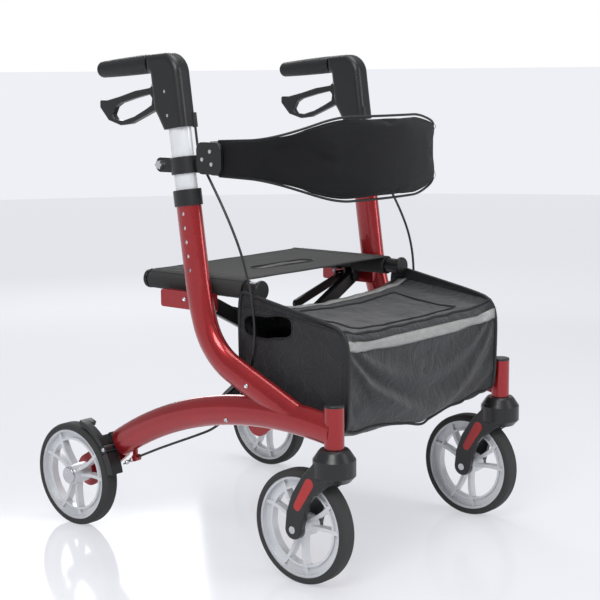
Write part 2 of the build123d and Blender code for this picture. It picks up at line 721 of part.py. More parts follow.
def caster(side):
    """Fork with its bell-shaped crown, the teardrop inserts, and the stem bolt in the head tube."""
    x = side * FRAME_X
    with BuildPart() as fork:
        with BuildSketch(side_plane(x)):
            make_face(fork_outline())
        extrude(amount=FORK_HALF_W, both=True)
        fillet(fork.faces().filter_by(Axis.X).edges(), FORK_EDGE)
        with BuildSketch(Plane(origin=(x, STEM_Y, 0), x_dir=(0, 1, 0), z_dir=(1, 0, 0))):
            with BuildLine():
                Polyline(
                    (0, CROWN_LOW_Z), (-CROWN_R + 9, CROWN_LOW_Z), (-CROWN_R, CROWN_LOW_Z + 10),
                    (-CROWN_R, CROWN_SHOULDER_Z), (-CROWN_NECK_R - 3, CROWN_TOP_Z - 3),
                    (-CROWN_NECK_R, CROWN_TOP_Z), (0, CROWN_TOP_Z), close=True,
                )
            make_face()
        revolve(axis=Axis((x, STEM_Y, 0), (0, 0, 1)))
        # room for the wheel
        slot = FORK_SLOT_HALF_W
        rod(x - slot, x + slot, FRONT_AXLE_Y, AXLE_Z, WHEEL_D + 2 * TYRE_CLEAR, Mode.SUBTRACT)
        rod(x - 2 * FORK_HALF_W, x + 2 * FORK_HALF_W, FRONT_AXLE_Y, AXLE_Z, AXLE_D, Mode.SUBTRACT)
        for hand in (-1, 1):
            outer = x + hand * FORK_HALF_W
            rod(outer - hand * AXLE_RECESS, outer + hand, FRONT_AXLE_Y, AXLE_Z, AXLE_HEAD_D, Mode.SUBTRACT)
            extrude(insert_face(outer), amount=-hand * INSERT_DEPTH, mode=Mode.SUBTRACT)
        with BuildSketch(Plane.XY.offset(CROWN_LOW_Z)):
            with Locations((x, STEM_Y)):
                Circle(STEM_D / 2)
        extrude(amount=CROWN_TOP_Z - CROWN_LOW_Z, mode=Mode.SUBTRACT)
    write(fork, f"caster_fork_{side_name(side)}")
    with BuildPart() as inserts:
        for hand in (-1, 1):
            face = insert_face(x + hand * (FORK_HALF_W - INSERT_DEPTH))
            extrude(face, amount=hand * (INSERT_DEPTH + 0.5))
    write(inserts, f"fork_insert_{side_name(side)}")
    with BuildPart() as stem:
        with BuildSketch(Plane.XY.offset(CROWN_LOW_Z)):
            with Locations((x, STEM_Y)):
                Circle(STEM_D / 2)
        extrude(amount=HEAD_Z + HEAD_H - CROWN_LOW_Z)
        with BuildSketch(Plane.XY.offset(CROWN_TOP_Z)):
            with Locations((x, STEM_Y)):
                Circle(STEM_D / 2 + 4)
        extrude(amount=GAP - WASHER_GAP)
    write(stem, f"caster_stem_{side_name(side)}")


# ---------------------------------------------------------------- brakes


def on_wheel(angle, radius):
    """(Y, Z) at this angle and distance from the rear axle, 0 degrees pointing to the rear."""
    return REAR_AXLE_Y + radius * cos(radians(angle)), AXLE_Z + radius * sin(radians(angle))


def sector(inner_r, outer_r, low, high):
    """Edges of a ring sector about the rear axle."""
    middle = (low + high) / 2
    with BuildLine() as outline:
        ThreePointArc(on_wheel(low, inner_r), on_wheel(middle, inner_r), on_wheel(high, inner_r))
        Line(on_wheel(high, inner_r), on_wheel(high, outer_r))
        ThreePointArc(on_wheel(high, outer_r), on_wheel(middle, outer_r), on_wheel(low, outer_r))
        Line(on_wheel(low, outer_r), on_wheel(low, inner_r))
    return outline.edges()


def brakes(side):
    """The guard bracket over the tyre and the shoe that swings on it."""
    guard_in = TYRE_R + GUARD_GAP
    guard_out = guard_in + GUARD_DEPTH
    pin_y, pin_z = BRAKE_PIVOT
    with BuildPart() as bracket:
        with BuildSketch(side_plane(side * BRAKE_IN_X)):
            make_face(sector(guard_in, guard_out, 104, 141))
        extrude(amount=side * (BRAKE_OUT_X - BRAKE_IN_X))
        with BuildSketch(side_plane(side * BRAKE_IN_X)):
            make_face(sector(guard_in, guard_out, 112, 131))
        trim = (BRAKE_OUT_X - BRAKE_IN_X) / 2
        extrude(amount=side * trim, mode=Mode.SUBTRACT)
        # cheek that carries the shoe's pin beside the leg's end
        with BuildSketch(side_plane(side * BRAKE_IN_X)):
            make_face(sector(guard_in, guard_out + 4, 131, 146))
            with Locations(BRAKE_PIVOT):
                Circle(9.4)
            make_hull()
        extrude(amount=-side * (BRAKE_IN_X - DROPOUT_X - DROPOUT_THICK / 2))
        rod(side * (BRAKE_IN_X - 2), side * BRAKE_OUT_X, pin_y, pin_z, BRAKE_PIN_D)
    write(bracket, f"brake_bracket_{side_name(side)}")
    with BuildPart() as arm:
        with BuildSketch(side_plane(side * (BRAKE_IN_X + GAP))):
            make_face(sector(TYRE_R + PAD_GAP, TYRE_R + PAD_GAP + PAD_DEPTH, 150, 171))
            with Locations(BRAKE_PIVOT):
                Circle(8)
        extrude(amount=side * (BRAKE_OUT_X - BRAKE_IN_X - GAP))
        bore = BRAKE_PIN_D + 2 * RUN_FIT
        rod(side * BRAKE_IN_X, side * (BRAKE_OUT_X + GAP), pin_y, pin_z, bore, Mode.SUBTRACT)
    write(arm, f"brake_arm_{side_name(side)}")


def corner_radii(points):
    """The largest arc that each corner's two runs allow."""
    radii = []
    for before, here, after in zip(points, points[1:], points[2:]):
        run_in = Vector(*here) - Vector(*before)
        run_out = Vector(*after) - Vector(*here)
        turn = radians(run_in.get_angle(run_out))
        radii.append(0.45 * min(run_in.length, run_out.length) * cos(turn / 2) / sin(turn / 2))
    return radii


def brake_cable(side):
    """The brake cable's sheath from the handle housing down to its stop under the arch."""
    points = [(side * x, y, z) for x, y, z in CABLE_ROUTE]
    radii = corner_radii(points)
    with BuildPart() as cable:
        with BuildLine() as path:
            FilletPolyline(*points, radius=radii)
        with BuildSketch(Plane(origin=points[0], z_dir=path.line % 0)):
            Circle(CABLE_D / 2)
        sweep(path=path.line)
    length = path.wire().length
    share = cable.part.volume / (length * pi * CABLE_D**2 / 4)
    print("cable length", round(length), "volume share", round(share, 4), "radii", [round(r) for r in radii])
    write(cable, f"brake_cable_{side_name(side)}")


# ---------------------------------------------------------------- folding cross


def bar_plane(y):
    """The plane square to Y that starts at this Y; its own x runs along X and its y along Z."""
    return Plane(origin=(0, y, 0), x_dir=(1, 0, 0), z_dir=(0, -1, 0))


def cross_bar(foot_side):
    """One bar of the cross, from its foot on this side to the far seat rail, with end pins."""
    y = bar_mid_y(foot_side)
    foot = (foot_side * PIVOT_X, LOW_PIVOT_Z)
    head = (-foot_side * PIVOT_X, HIGH_PIVOT_Z)
    run = Vector(head[0] - foot[0], head[1] - foot[1])
    tilt = degrees(atan2(run.Y, run.X))
    with BuildPart() as bar:
        with BuildSketch(bar_plane(y)):
            with Locations((0, CROSS_Z)):
                SlotCenterToCenter(run.length, BAR_WIDE, rotation=tilt)
        extrude(amount=BAR_THICK / 2, both=True)
        fillet(bar.faces().filter_by(Axis.Y).edges(), 3.0)
        with BuildSketch(bar_plane(y)):
            with Locations((0, CROSS_Z)):
                SlotCenterToCenter(run.length - 60, BAR_WIDE - 2 * BAR_WALL, rotation=tilt)
        extrude(amount=BAR_THICK / 2 - BAR_WALL, both=True, mode=Mode.SUBTRACT)
        rod_y(0, CROSS_Z, y - BAR_THICK, y + BAR_THICK, BAR_PIN_D + 2 * RUN_FIT, Mode.SUBTRACT)
        reach = BAR_THICK / 2 + GAP + LUG_THICK
        for x, z in (foot, head):
            rod_y(x, z, y - reach, y + reach, BAR_PIN_D)
    write(bar, "x_bar_a" if foot_side < 0 else "x_bar_b")


def cross_pin():
    """The bolt on which the two bars cross, with its washers and heads."""
    reach = BAR_THICK + GAP / 2
    with BuildPart() as pin:
        rod_y(0, CROSS_Z, BAR_MID_Y - reach - 1, BAR_MID_Y + reach + 1, BAR_PIN_D)
        rod_y(0, CROSS_Z, BAR_MID_Y - reach - 5, BAR_MID_Y - reach - WASHER_GAP, 2 * BAR_PIN_D)
        rod_y(0, CROSS_Z, BAR_MID_Y + reach + WASHER_GAP, BAR_MID_Y + reach + 5, 2 * BAR_PIN_D)
    write(pin, "cross_pin")


def guide_link(side):
    """The link that steadies a bar beside the bracket; its inner end stays free."""
    x = side * LINK_PIN_X
    with BuildPart() as link:
        with BuildSketch(bar_plane(LINK_Y)):
            with Locations((x, LINK_Z)):
                Circle(LINK_WIDE / 2)
            with Locations((x - side * LINK_REACH, LINK_Z - LINK_DROP)):
                Circle(LINK_WIDE / 2)
            make_hull()
        extrude(amount=-LINK_THICK)
        rod_y(x, LINK_Z, LINK_Y - 1, LINK_Y + LINK_THICK + 1, BAR_PIN_D + 2 * RUN_FIT, Mode.SUBTRACT)
    write(link, f"guide_link_{side_name(side)}")


# ---------------------------------------------------------------- seat, backrest and bag


def seat_rail(side):
    """The tube that carries the seat's edge, its end caps, and the lugs for a bar's head."""
    x = side * PIVOT_X
    with BuildPart() as rail:
        rod_y(x, RAIL_Z, RAIL_FRONT_Y + 8, RAIL_BACK_Y - 8, RAIL_D)
        rod_y(x, RAIL_Z, RAIL_FRONT_Y + 7, RAIL_BACK_Y - 7, RAIL_D - 2 * RAIL_WALL, Mode.SUBTRACT)
        for y in lug_ys(bar_mid_y(-side)):
            with BuildSketch(bar_plane(y)):
                with Locations((x, HIGH_PIVOT_Z)):
                    Circle(LUG_R - 2)
                with Locations((x, RAIL_Z - RAIL_D / 2)):
                    Circle(LUG_R - 2)
                make_hull()
            extrude(amount=-LUG_THICK)
            bore = BAR_PIN_D + 2 * RUN_FIT
            rod_y(x, HIGH_PIVOT_Z, y - GAP, y + LUG_THICK + GAP, bore, Mode.SUBTRACT)
        rod_y(x, RAIL_Z, RAIL_FRONT_Y + 9, RAIL_BACK_Y - 9, RAIL_D - 2 * RAIL_WALL, Mode.SUBTRACT)
    with BuildPart() as caps:
        for start, end in ((RAIL_FRONT_Y, RAIL_FRONT_Y + 8), (RAIL_BACK_Y - 8, RAIL_BACK_Y)):
            rod_y(x, RAIL_Z, start, end, RAIL_CAP_D)
        fillet(caps.edges().filter_by(GeomType.CIRCLE), 2.5)
    with BuildPart() as both:
        add(rail.part)
        add(caps.part)
    write(both, f"seat_rail_{side_name(side)}")


def seat_fabric():
    """The seat: a taut panel between two sleeves around the rails."""
    sleeve_d = RAIL_D + 2 * SLIDE_FIT + 2 * SEAT_SLEEVE
    with BuildPart() as seat:
        for side in (-1, 1):
            rod_y(side * PIVOT_X, RAIL_Z, SEAT_FRONT_Y, SEAT_BACK_Y, sleeve_d)
        with BuildSketch(Plane.XY.offset(RAIL_Z + sleeve_d / 2 - SEAT_THICK)):
            with Locations((0, (SEAT_FRONT_Y + SEAT_BACK_Y) / 2)):
                Rectangle(2 * PIVOT_X, SEAT_BACK_Y - SEAT_FRONT_Y)
        extrude(amount=SEAT_THICK)
        for side in (-1, 1):
            rod_y(
                side * PIVOT_X, RAIL_Z, SEAT_FRONT_Y - 1, SEAT_BACK_Y + 1,
                RAIL_D + 2 * SLIDE_FIT, Mode.SUBTRACT,
            )
            ys = lug_ys(bar_mid_y(-side))
            with BuildSketch(Plane.XY.offset(RAIL_Z)):
                with Locations((side * PIVOT_X, (ys[0] + ys[1] + LUG_THICK) / 2)):
                    Rectangle(RAIL_CAP_D + 12, ys[1] + LUG_THICK - ys[0] + 6)
            extrude(amount=-RAIL_CAP_D, mode=Mode.SUBTRACT)
    write(seat, "seat_fabric")


def band_edge(inset):
    """Plan outline of the backrest band, moved inwards by this much."""
    x = FRAME_X - inset
    corner_x = -BAND_CORNER[0] - inset
    corner_y = BAND_CORNER[1] + inset
    nose_y = BAND_NOSE_Y + inset
    with BuildLine() as outline:
        front = FilletPolyline(
            (-x, BAND_BACK_Y), (-corner_x, corner_y), (0, nose_y), (corner_x, corner_y), (x, BAND_BACK_Y),
            radius=[BAND_CORNER_R - inset, BAND_NOSE_R - inset, BAND_CORNER_R - inset],
        )
        Line(front @ 1, front @ 0)
    return outline.edges()


def backrest_band():
    """The padded band that bows forward between the back plates."""
    with BuildPart() as band:
        with BuildSketch(Plane.XY.offset(BAND_LOW)):
            make_face(band_edge(0))
            make_face(band_edge(BAND_THICK), mode=Mode.SUBTRACT)
        extrude(amount=BAND_HIGH - BAND_LOW)
        with BuildSketch(Plane.XZ):
            with BuildLine():
                x = FRAME_X + 5
                top = Spline((-x, BAND_END_HIGH), (-190, 768), (-95, BAND_HIGH), tangents=[(1, 0.05), (1, 0.02)])
                crest = Line(top @ 1, (95, BAND_HIGH))
                drop = Spline(crest @ 1, (190, 768), (x, BAND_END_HIGH), tangents=[(1, -0.02), (1, -0.05)])
                end = Line(drop @ 1, (x, BAND_END_LOW))
                rise = Spline(end @ 1, (190, 662), (95, BAND_LOW), tangents=[(-1, -0.05), (-1, -0.02)])
                hem = Line(rise @ 1, (-95, BAND_LOW))
                fall = Spline(hem @ 1, (-190, 662), (-x, BAND_END_LOW), tangents=[(-1, 0.02), (-1, 0.05)])
                Line(fall @ 1, top @ 0)
            make_face()
        extrude(amount=LENGTH, mode=Mode.INTERSECT)
    write(band, "backrest_band")


# ---------------------------------------------------------------- backrest clamps


def back_clamp(side):
    """The clamp around the inner tube: a ring, two ears at the rear, a tongue at the front."""
    x = side * FRAME_X
    rise = (CLAMP_Z - UPRIGHT_Z) / cos(radians(UPRIGHT_TILT))
    low = rise - CLAMP_H / 2
    high = rise + CLAMP_H / 2
    ring_y = upright_point(rise)[0]
    front = ring_y - INNER_LONG / 2
    with BuildPart() as clamp:
        upright_oval(side, low, high, INNER_LONG + 2 * CLAMP_WALL, INNER_WIDE + 2 * CLAMP_WALL)
        fillet(clamp.edges(), 1.5)
        with BuildSketch(side_plane(x)):
            with Locations((EAR_Y, CLAMP_Z)):
                Circle(CLAMP_H / 2 - 2)
            with Locations((ring_y + INNER_LONG / 2, CLAMP_Z)):
                Circle(CLAMP_H / 2 - 2)
            make_hull()
        extrude(amount=EAR_HALF_W, both=True)
        with BuildSketch(side_plane(side * PLATE_X)):
            with Locations(((front - 14 + ring_y) / 2, CLAMP_Z)):
                Rectangle(ring_y - front + 14, CLAMP_H - 6)
        extrude(amount=-side * PLATE_THICK)
        upright_oval(side, low - 5, high + 5, INNER_LONG, INNER_WIDE, Mode.SUBTRACT)
        with BuildSketch(side_plane(x)):
            with Locations((EAR_Y, CLAMP_Z)):
                Rectangle(EAR_Y + 10, CLAMP_H + 4)
        extrude(amount=GAP, both=True, mode=Mode.SUBTRACT)
        rod(x - 2 * EAR_HALF_W, x + 2 * EAR_HALF_W, EAR_Y, CLAMP_Z, LEVER_PIN_D, Mode.SUBTRACT)
    write(clamp, f"back_clamp_{side_name(side)}")


def back_plate(side):
    """The plate that holds one end of the band."""
    with BuildPart() as plate:
        with BuildSketch(side_plane(side * PLATE_X)):
            with Locations(PLATE_MIDDLE):
                RectangleRounded(*PLATE_SIZE, 14)
        extrude(amount=side * PLATE_THICK)
        fillet(plate.faces().filter_by(Axis.X).sort_by(Axis.X)[0 if side < 0 else -1].edges(), 1.5)
        for y, z in RIVETS:
            rod(side * PLATE_X, side * (PLATE_X + PLATE_THICK), y, z, RIVET_D - 3, Mode.SUBTRACT)
    write(plate, f"back_plate_{side_name(side)}")


def back_bolts(side):
    """The clamp's bolt with its lobed head, and the three rivets of the plate."""
    x = side * FRAME_X
    face = PLATE_X + PLATE_THICK
    with BuildPart() as bolts:
        rod(x - side * (EAR_HALF_W + 3), x + side * EAR_HALF_W, EAR_Y, CLAMP_Z, LEVER_PIN_D)
        with BuildSketch(side_plane(x + side * EAR_HALF_W)):
            with Locations((EAR_Y, CLAMP_Z)):
                Circle(KNOB_D / 2)
                with PolarLocations(KNOB_D / 2, 6):
                    Circle(2)
        extrude(amount=side * 7)
        for y, z in RIVETS:
            rod(side * PLATE_X, side * face, y, z, RIVET_D - 3)
            rod(side * face, side * (face + 2), y, z, RIVET_D)
    write(bolts, f"back_bolts_{side_name(side)}")


# ---------------------------------------------------------------- bag


def bag_outline(inset):
    """The bag's side panel, moved inwards by this much."""
    with BuildLine() as outline:
        Polyline(
            (BAG_BACK_Y - inset, BAG_PEAK_Z - inset), (-126 - inset, 482 - inset),
            (-334 + inset, 441 - inset), (BAG_FRONT_Y + inset, 412),
            (BAG_FRONT_Y + 4 + inset, 268 + inset), (-336 + inset, BAG_LOW_Z + inset),
            (-116 - inset, BAG_LOW_Z + inset), (BAG_BACK_Y - inset, 272), close=True,
        )
    return outline.edges()


def bag():
    """The bag under the seat: hollow, a lid below the side panels' tops, and two hand slots."""
    with BuildPart() as bag_body:
        with BuildSketch(Plane.YZ):
            make_face(bag_outline(0))
        extrude(amount=BAG_HALF_W, both=True)
        with BuildSketch(Plane.YZ):
            make_face(bag_outline(BAG_WALL))
            with BuildLine():
                Polyline(
                    (0, 455), BAG_LID_BACK, BAG_LID_FRONT, (LENGTH * -1, 425), (-LENGTH, 600),
                    (0, 600), close=True,
                )
            make_face(mode=Mode.SUBTRACT)
        extrude(amount=BAG_HALF_W - BAG_WALL, both=True, mode=Mode.SUBTRACT)
        with BuildSketch(Plane.YZ):
            with BuildLine():
                Polyline(
                    (0, 463), (BAG_LID_BACK[0], BAG_LID_BACK[1] + BAG_WALL),
                    (BAG_LID_FRONT[0], BAG_LID_FRONT[1] + BAG_WALL), (BAG_LID_FRONT[0], 600),
                    (0, 600), close=True,
                )
            make_face()
        extrude(amount=BAG_HALF_W - BAG_WALL, both=True, mode=Mode.SUBTRACT)
        with BuildSketch(Plane.YZ):
            with Locations(((BAG_LID_BACK[0] + BAG_BACK_Y - BAG_WALL) / 2, 470)):
                Rectangle(BAG_BACK_Y - BAG_WALL - BAG_LID_BACK[0], 60)
        extrude(amount=BAG_HALF_W - BAG_WALL, both=True, mode=Mode.SUBTRACT)
        with BuildSketch(Plane.YZ.offset(-2 * BAG_HALF_W)):
            with Locations(BAG_SLOT_MIDDLE):
                RectangleRounded(*BAG_SLOT_SIZE, 16)
        extrude(amount=4 * BAG_HALF_W, mode=Mode.SUBTRACT)
    write(bag_body, "bag")


# ---------------------------------------------------------------- all pieces

for hand in (-1, 1):
    side_frame(hand)
    frame_fittings(hand)
    collar(hand)
    handle_tube(hand)
    height_button(hand)
    handle_shells(hand)
    handle_screws(hand)
    grip(hand)
    brake_lever(hand)
    wheels(hand)
    caster(hand)
    brakes(hand)
    brake_cable(hand)
    cross_bar(hand)
    guide_link(hand)
    seat_rail(hand)
    back_clamp(hand)
    back_plate(hand)
    back_bolts(hand)
cross_pin()
seat_fabric()
backrest_band()
bag()
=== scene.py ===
"""Rollator walker: finishes, cloth, cables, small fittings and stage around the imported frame."""

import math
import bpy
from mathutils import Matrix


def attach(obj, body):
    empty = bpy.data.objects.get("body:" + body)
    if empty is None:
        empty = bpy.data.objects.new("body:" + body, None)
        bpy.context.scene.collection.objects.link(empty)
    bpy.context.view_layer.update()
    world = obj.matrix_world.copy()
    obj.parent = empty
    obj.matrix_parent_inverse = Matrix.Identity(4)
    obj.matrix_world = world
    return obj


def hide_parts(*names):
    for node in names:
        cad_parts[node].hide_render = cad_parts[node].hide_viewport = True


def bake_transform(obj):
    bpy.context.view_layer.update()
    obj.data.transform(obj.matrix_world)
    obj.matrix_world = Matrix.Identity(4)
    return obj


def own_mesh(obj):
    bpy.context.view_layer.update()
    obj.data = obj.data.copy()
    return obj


bl_info = {
    "name": "Rollator walker",
    "version": (1, 0, 0),
    "blender": (4, 5, 0),
    "location": "3D View > Sidebar > Rollator",
    "description": "Builds the finishes, cloth, cables and fittings of a folding rollator walker",
    "category": "Add Mesh",
}

import bmesh
import bpy
import numpy as np
from mathutils import Matrix, Vector, noise

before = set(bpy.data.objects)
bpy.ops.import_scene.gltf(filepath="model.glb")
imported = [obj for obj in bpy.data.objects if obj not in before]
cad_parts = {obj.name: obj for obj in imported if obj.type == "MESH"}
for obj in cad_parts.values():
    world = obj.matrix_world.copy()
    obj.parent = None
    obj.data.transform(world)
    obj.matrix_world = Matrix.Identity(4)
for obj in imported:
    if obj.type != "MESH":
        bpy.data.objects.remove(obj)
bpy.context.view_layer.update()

SIDES = (("right", -1), ("left", 1))
RAIL_X = 0.206
RAIL_Z = 0.486
CLOTH_FRAMES = 20


# ---------------------------------------------------------------- settings


def colour(label, default, about):
    return bpy.props.FloatVectorProperty(
        name=label, description=about, default=default, size=3, min=0.0, max=1.0, subtype="COLOR"
    )


def length(label, default, about):
    return bpy.props.FloatProperty(
        name=label, description=about, default=default, min=0.0, unit="LENGTH", subtype="DISTANCE"
    )


class RollatorColours(bpy.types.PropertyGroup):
    paint: colour("Frame paint", (0.34, 0.006, 0.010), "Metallic red of the side frames")
    insert: colour("Fork insert", (0.44, 0.012, 0.012), "Red of the teardrop fork inserts")
    tube: colour("Handle tube", (0.80, 0.81, 0.83), "White of the sliding handle tubes")
    plastic: colour("Moulded plastic", (0.011, 0.011, 0.012), "Black of the moulded parts")
    rim: colour("Wheel rim", (0.70, 0.71, 0.73), "Silver white of the wheel rims")
    tyre: colour("Tyre", (0.016, 0.016, 0.017), "Black of the tyres")
    steel: colour("Steel", (0.58, 0.58, 0.60), "Plated steel of bolts and axles")
    seat: colour("Seat cloth", (0.020, 0.020, 0.021), "Dark grey of the seat")
    bag: colour("Bag cloth", (0.008, 0.009, 0.012), "Black of the bag's nylon")
    band: colour("Backrest cloth", (0.006, 0.006, 0.008), "Black of the backrest band")
    tape: colour("Reflective tape", (0.40, 0.40, 0.39), "Grey of the reflective tape")


class RollatorCables(bpy.types.PropertyGroup):
    diameter: length("Sheath diameter", 0.0046, "Diameter of a brake cable's sheath")
    run: length("Cable length", 0.815, "Length of one brake cable's sheath")


class RollatorSeat(bpy.types.PropertyGroup):
    thickness: length("Panel thickness", 0.004, "Thickness of the seat panel")
    sleeve_radius: length("Sleeve radius", 0.0178, "Outer radius of the sleeves on the rails")
    sleeve_wall: length("Sleeve wall", 0.0033, "Thickness of the sleeves on the rails")
    front: bpy.props.FloatProperty(
        name="Front edge", description="Y of the seat's front edge", default=-0.108, unit="LENGTH"
    )
    back: bpy.props.FloatProperty(
        name="Rear edge", description="Y of the seat's rear edge", default=0.128, unit="LENGTH"
    )
    slot_length: length("Slot length", 0.168, "Length of the recess that holds the pull strap")
    slot_width: length("Slot width", 0.034, "Width of the recess that holds the pull strap")


class RollatorBackrest(bpy.types.PropertyGroup):
    thickness: length("Padding", 0.0105, "Thickness of the backrest band")
    end_low: length("End bottom", 0.693, "Height of the band's lower edge at its ends")
    end_high: length("End top", 0.741, "Height of the band's upper edge at its ends")
    low: length("Middle bottom", 0.640, "Height of the band's lower edge in the middle")
    high: length("Middle top", 0.786, "Height of the band's upper edge in the middle")


class RollatorBag(bpy.types.PropertyGroup):
    half_width: length("Half width", 0.2265, "Half of the bag's width")
    wall: length("Cloth thickness", 0.0014, "Thickness of the bag's cloth")
    piping: length("Piping radius", 0.0032, "Radius of the piping along the seams")
    slack: length("Slack", 0.013, "Depth of the loose folds in the front")
    slot_length: length("Hand slot length", 0.112, "Length of the hand slot in a side panel")
    slot_height: length("Hand slot height", 0.040, "Height of the hand slot in a side panel")
    tape_width: length("Tape width", 0.026, "Width of the reflective tape")


class RollatorFittings(bpy.types.PropertyGroup):
    bolt_radius: length("Bolt head radius", 0.0042, "Radius of a button-head bolt")
    bolt_height: length("Bolt head height", 0.0026, "Height of a button-head bolt")


class RollatorStage(bpy.types.PropertyGroup):
    camera_place: bpy.props.FloatVectorProperty(
        name="Camera place", description="Where the camera stands", size=3,
        default=(-2.0197, -1.7824, 0.8488), subtype="TRANSLATION", unit="LENGTH",
    )
    yaw: bpy.props.FloatProperty(
        name="Yaw", description="Camera heading from +X towards +Y",
        default=math.radians(40.545), subtype="ANGLE", unit="ROTATION",
    )
    pitch: bpy.props.FloatProperty(
        name="Pitch", description="Camera tilt above the horizon",
        default=math.radians(-8.822), subtype="ANGLE", unit="ROTATION",
    )
    roll: bpy.props.FloatProperty(
        name="Roll", description="Camera roll",
        default=math.radians(-0.517), subtype="ANGLE", unit="ROTATION",
    )
    lens: bpy.props.FloatProperty(
        name="Lens", description="Focal length on a 36 mm sensor", default=84.87, min=10.0
    )
    floor: colour("Floor", (0.863, 0.871, 0.913), "Colour of the floor and the low backdrop")
    backdrop_radius: length("Backdrop radius", 8.0, "Distance of the backdrop from the middle")
    backdrop_height: length("Backdrop height", 0.927, "Height of the backdrop's edge")


GROUPS = {
    "rollator_colours": RollatorColours,
    "rollator_cables": RollatorCables,
    "rollator_seat": RollatorSeat,
    "rollator_backrest": RollatorBackrest,
    "rollator_bag": RollatorBag,
    "rollator_fittings": RollatorFittings,
    "rollator_stage": RollatorStage,
}


# ---------------------------------------------------------------- node helpers


def node(tree, kind, feeds=None, **settings):
    """Add a node, set its settings, and link or set its inputs."""
    made = tree.nodes.new(kind)
    for key, value in settings.items():
        setattr(made, key, value)
    for key, value in (feeds or {}).items():
        if isinstance(value, bpy.types.NodeSocket):
            tree.links.new(value, made.inputs[key])
        else:
            made.inputs[key].default_value = value
    return made


def maths(tree, operation, first, second=0.0, clamp=False):
    return node(tree, "ShaderNodeMath", {0: first, 1: second}, operation=operation, use_clamp=clamp).outputs[0]


def blend_colour(tree, factor, first, second, mode="MIX"):
    mixed = node(tree, "ShaderNodeMix", {0: factor, 6: first, 7: second}, data_type="RGBA", blend_type=mode)
    return mixed.outputs[2]


def node_group(name, kind, inputs, outputs):
    """An empty node group with these named sockets, and its two end nodes."""
    tree = bpy.data.node_groups.new(name, kind)
    for label, socket, default in inputs:
        made = tree.interface.new_socket(name=label, in_out="INPUT", socket_type=socket)
        if default is not None:
            made.default_value = default
    for label, socket in outputs:
        tree.interface.new_socket(name=label, in_out="OUTPUT", socket_type=socket)
    return tree, tree.nodes.new("NodeGroupInput").outputs, tree.nodes.new("NodeGroupOutput").inputs


NUMBER = "NodeSocketFloat"
VECTOR = "NodeSocketVector"


def moulded_grain():
    """Fine skin of a moulded or cast surface, with slow drifts of shade."""
    inputs = (("Coordinate", VECTOR, None), ("Scale", NUMBER, 900.0), ("Mottle", NUMBER, 0.1))
    tree, given, result = node_group(
        "moulded_grain", "ShaderNodeTree", inputs, (("Height", NUMBER), ("Shade", NUMBER))
    )
    fine = node(tree, "ShaderNodeTexNoise", {"Vector": given["Coordinate"], "Scale": given["Scale"], "Detail": 3.0})
    slow_scale = maths(tree, "MULTIPLY", given["Scale"], 0.03)
    slow = node(tree, "ShaderNodeTexNoise", {"Vector": given["Coordinate"], "Scale": slow_scale, "Detail": 2.0})
    drift = maths(tree, "MULTIPLY", maths(tree, "SUBTRACT", slow.outputs[0], 0.5), given["Mottle"])
    tree.links.new(fine.outputs[0], result["Height"])
    tree.links.new(maths(tree, "MULTIPLY_ADD", drift, 2.0), result["Shade"])
    tree.nodes[-1].inputs[2].default_value = 1.0
    return tree


def edge_wear():
    """A mask that rises along outer edges, broken up by noise."""
    inputs = (("Coordinate", VECTOR, None), ("Radius", NUMBER, 0.0012), ("Amount", NUMBER, 0.5))
    tree, given, result = node_group("edge_wear", "ShaderNodeTree", inputs, (("Mask", NUMBER),))
    soft = node(tree, "ShaderNodeBevel", {"Radius": given["Radius"]}, samples=4)
    flat = node(tree, "ShaderNodeNewGeometry")
    along = node(tree, "ShaderNodeVectorMath", {0: soft.outputs[0], 1: flat.outputs["Normal"]}, operation="DOT_PRODUCT")
    edge = maths(tree, "MULTIPLY", maths(tree, "SUBTRACT", 1.0, along.outputs["Value"]), 9.0, clamp=True)
    rubbed_and_creased = node(tree, "ShaderNodeTexNoise", {"Vector": given["Coordinate"], "Scale": 160.0, "Detail": 4.0})
    broken = maths(tree, "MULTIPLY", edge, rubbed_and_creased.outputs[0])
    tree.links.new(maths(tree, "MULTIPLY", broken, given["Amount"], clamp=True), result["Mask"])
    return tree


def settled_dust():
    """A faint film on faces that look up."""
    inputs = (("Coordinate", VECTOR, None), ("Amount", NUMBER, 0.1))
    tree, given, result = node_group("settled_dust", "ShaderNodeTree", inputs, (("Mask", NUMBER),))
    normal = node(tree, "ShaderNodeSeparateXYZ", {0: node(tree, "ShaderNodeNewGeometry").outputs["Normal"]})
    upward = maths(tree, "POWER", maths(tree, "MAXIMUM", normal.outputs["Z"], 0.0), 2.0)
    cloud = node(tree, "ShaderNodeTexNoise", {"Vector": given["Coordinate"], "Scale": 45.0, "Detail": 5.0})
    film = maths(tree, "MULTIPLY", upward, cloud.outputs[0])
    tree.links.new(maths(tree, "MULTIPLY", film, given["Amount"], clamp=True), result["Mask"])
    return tree


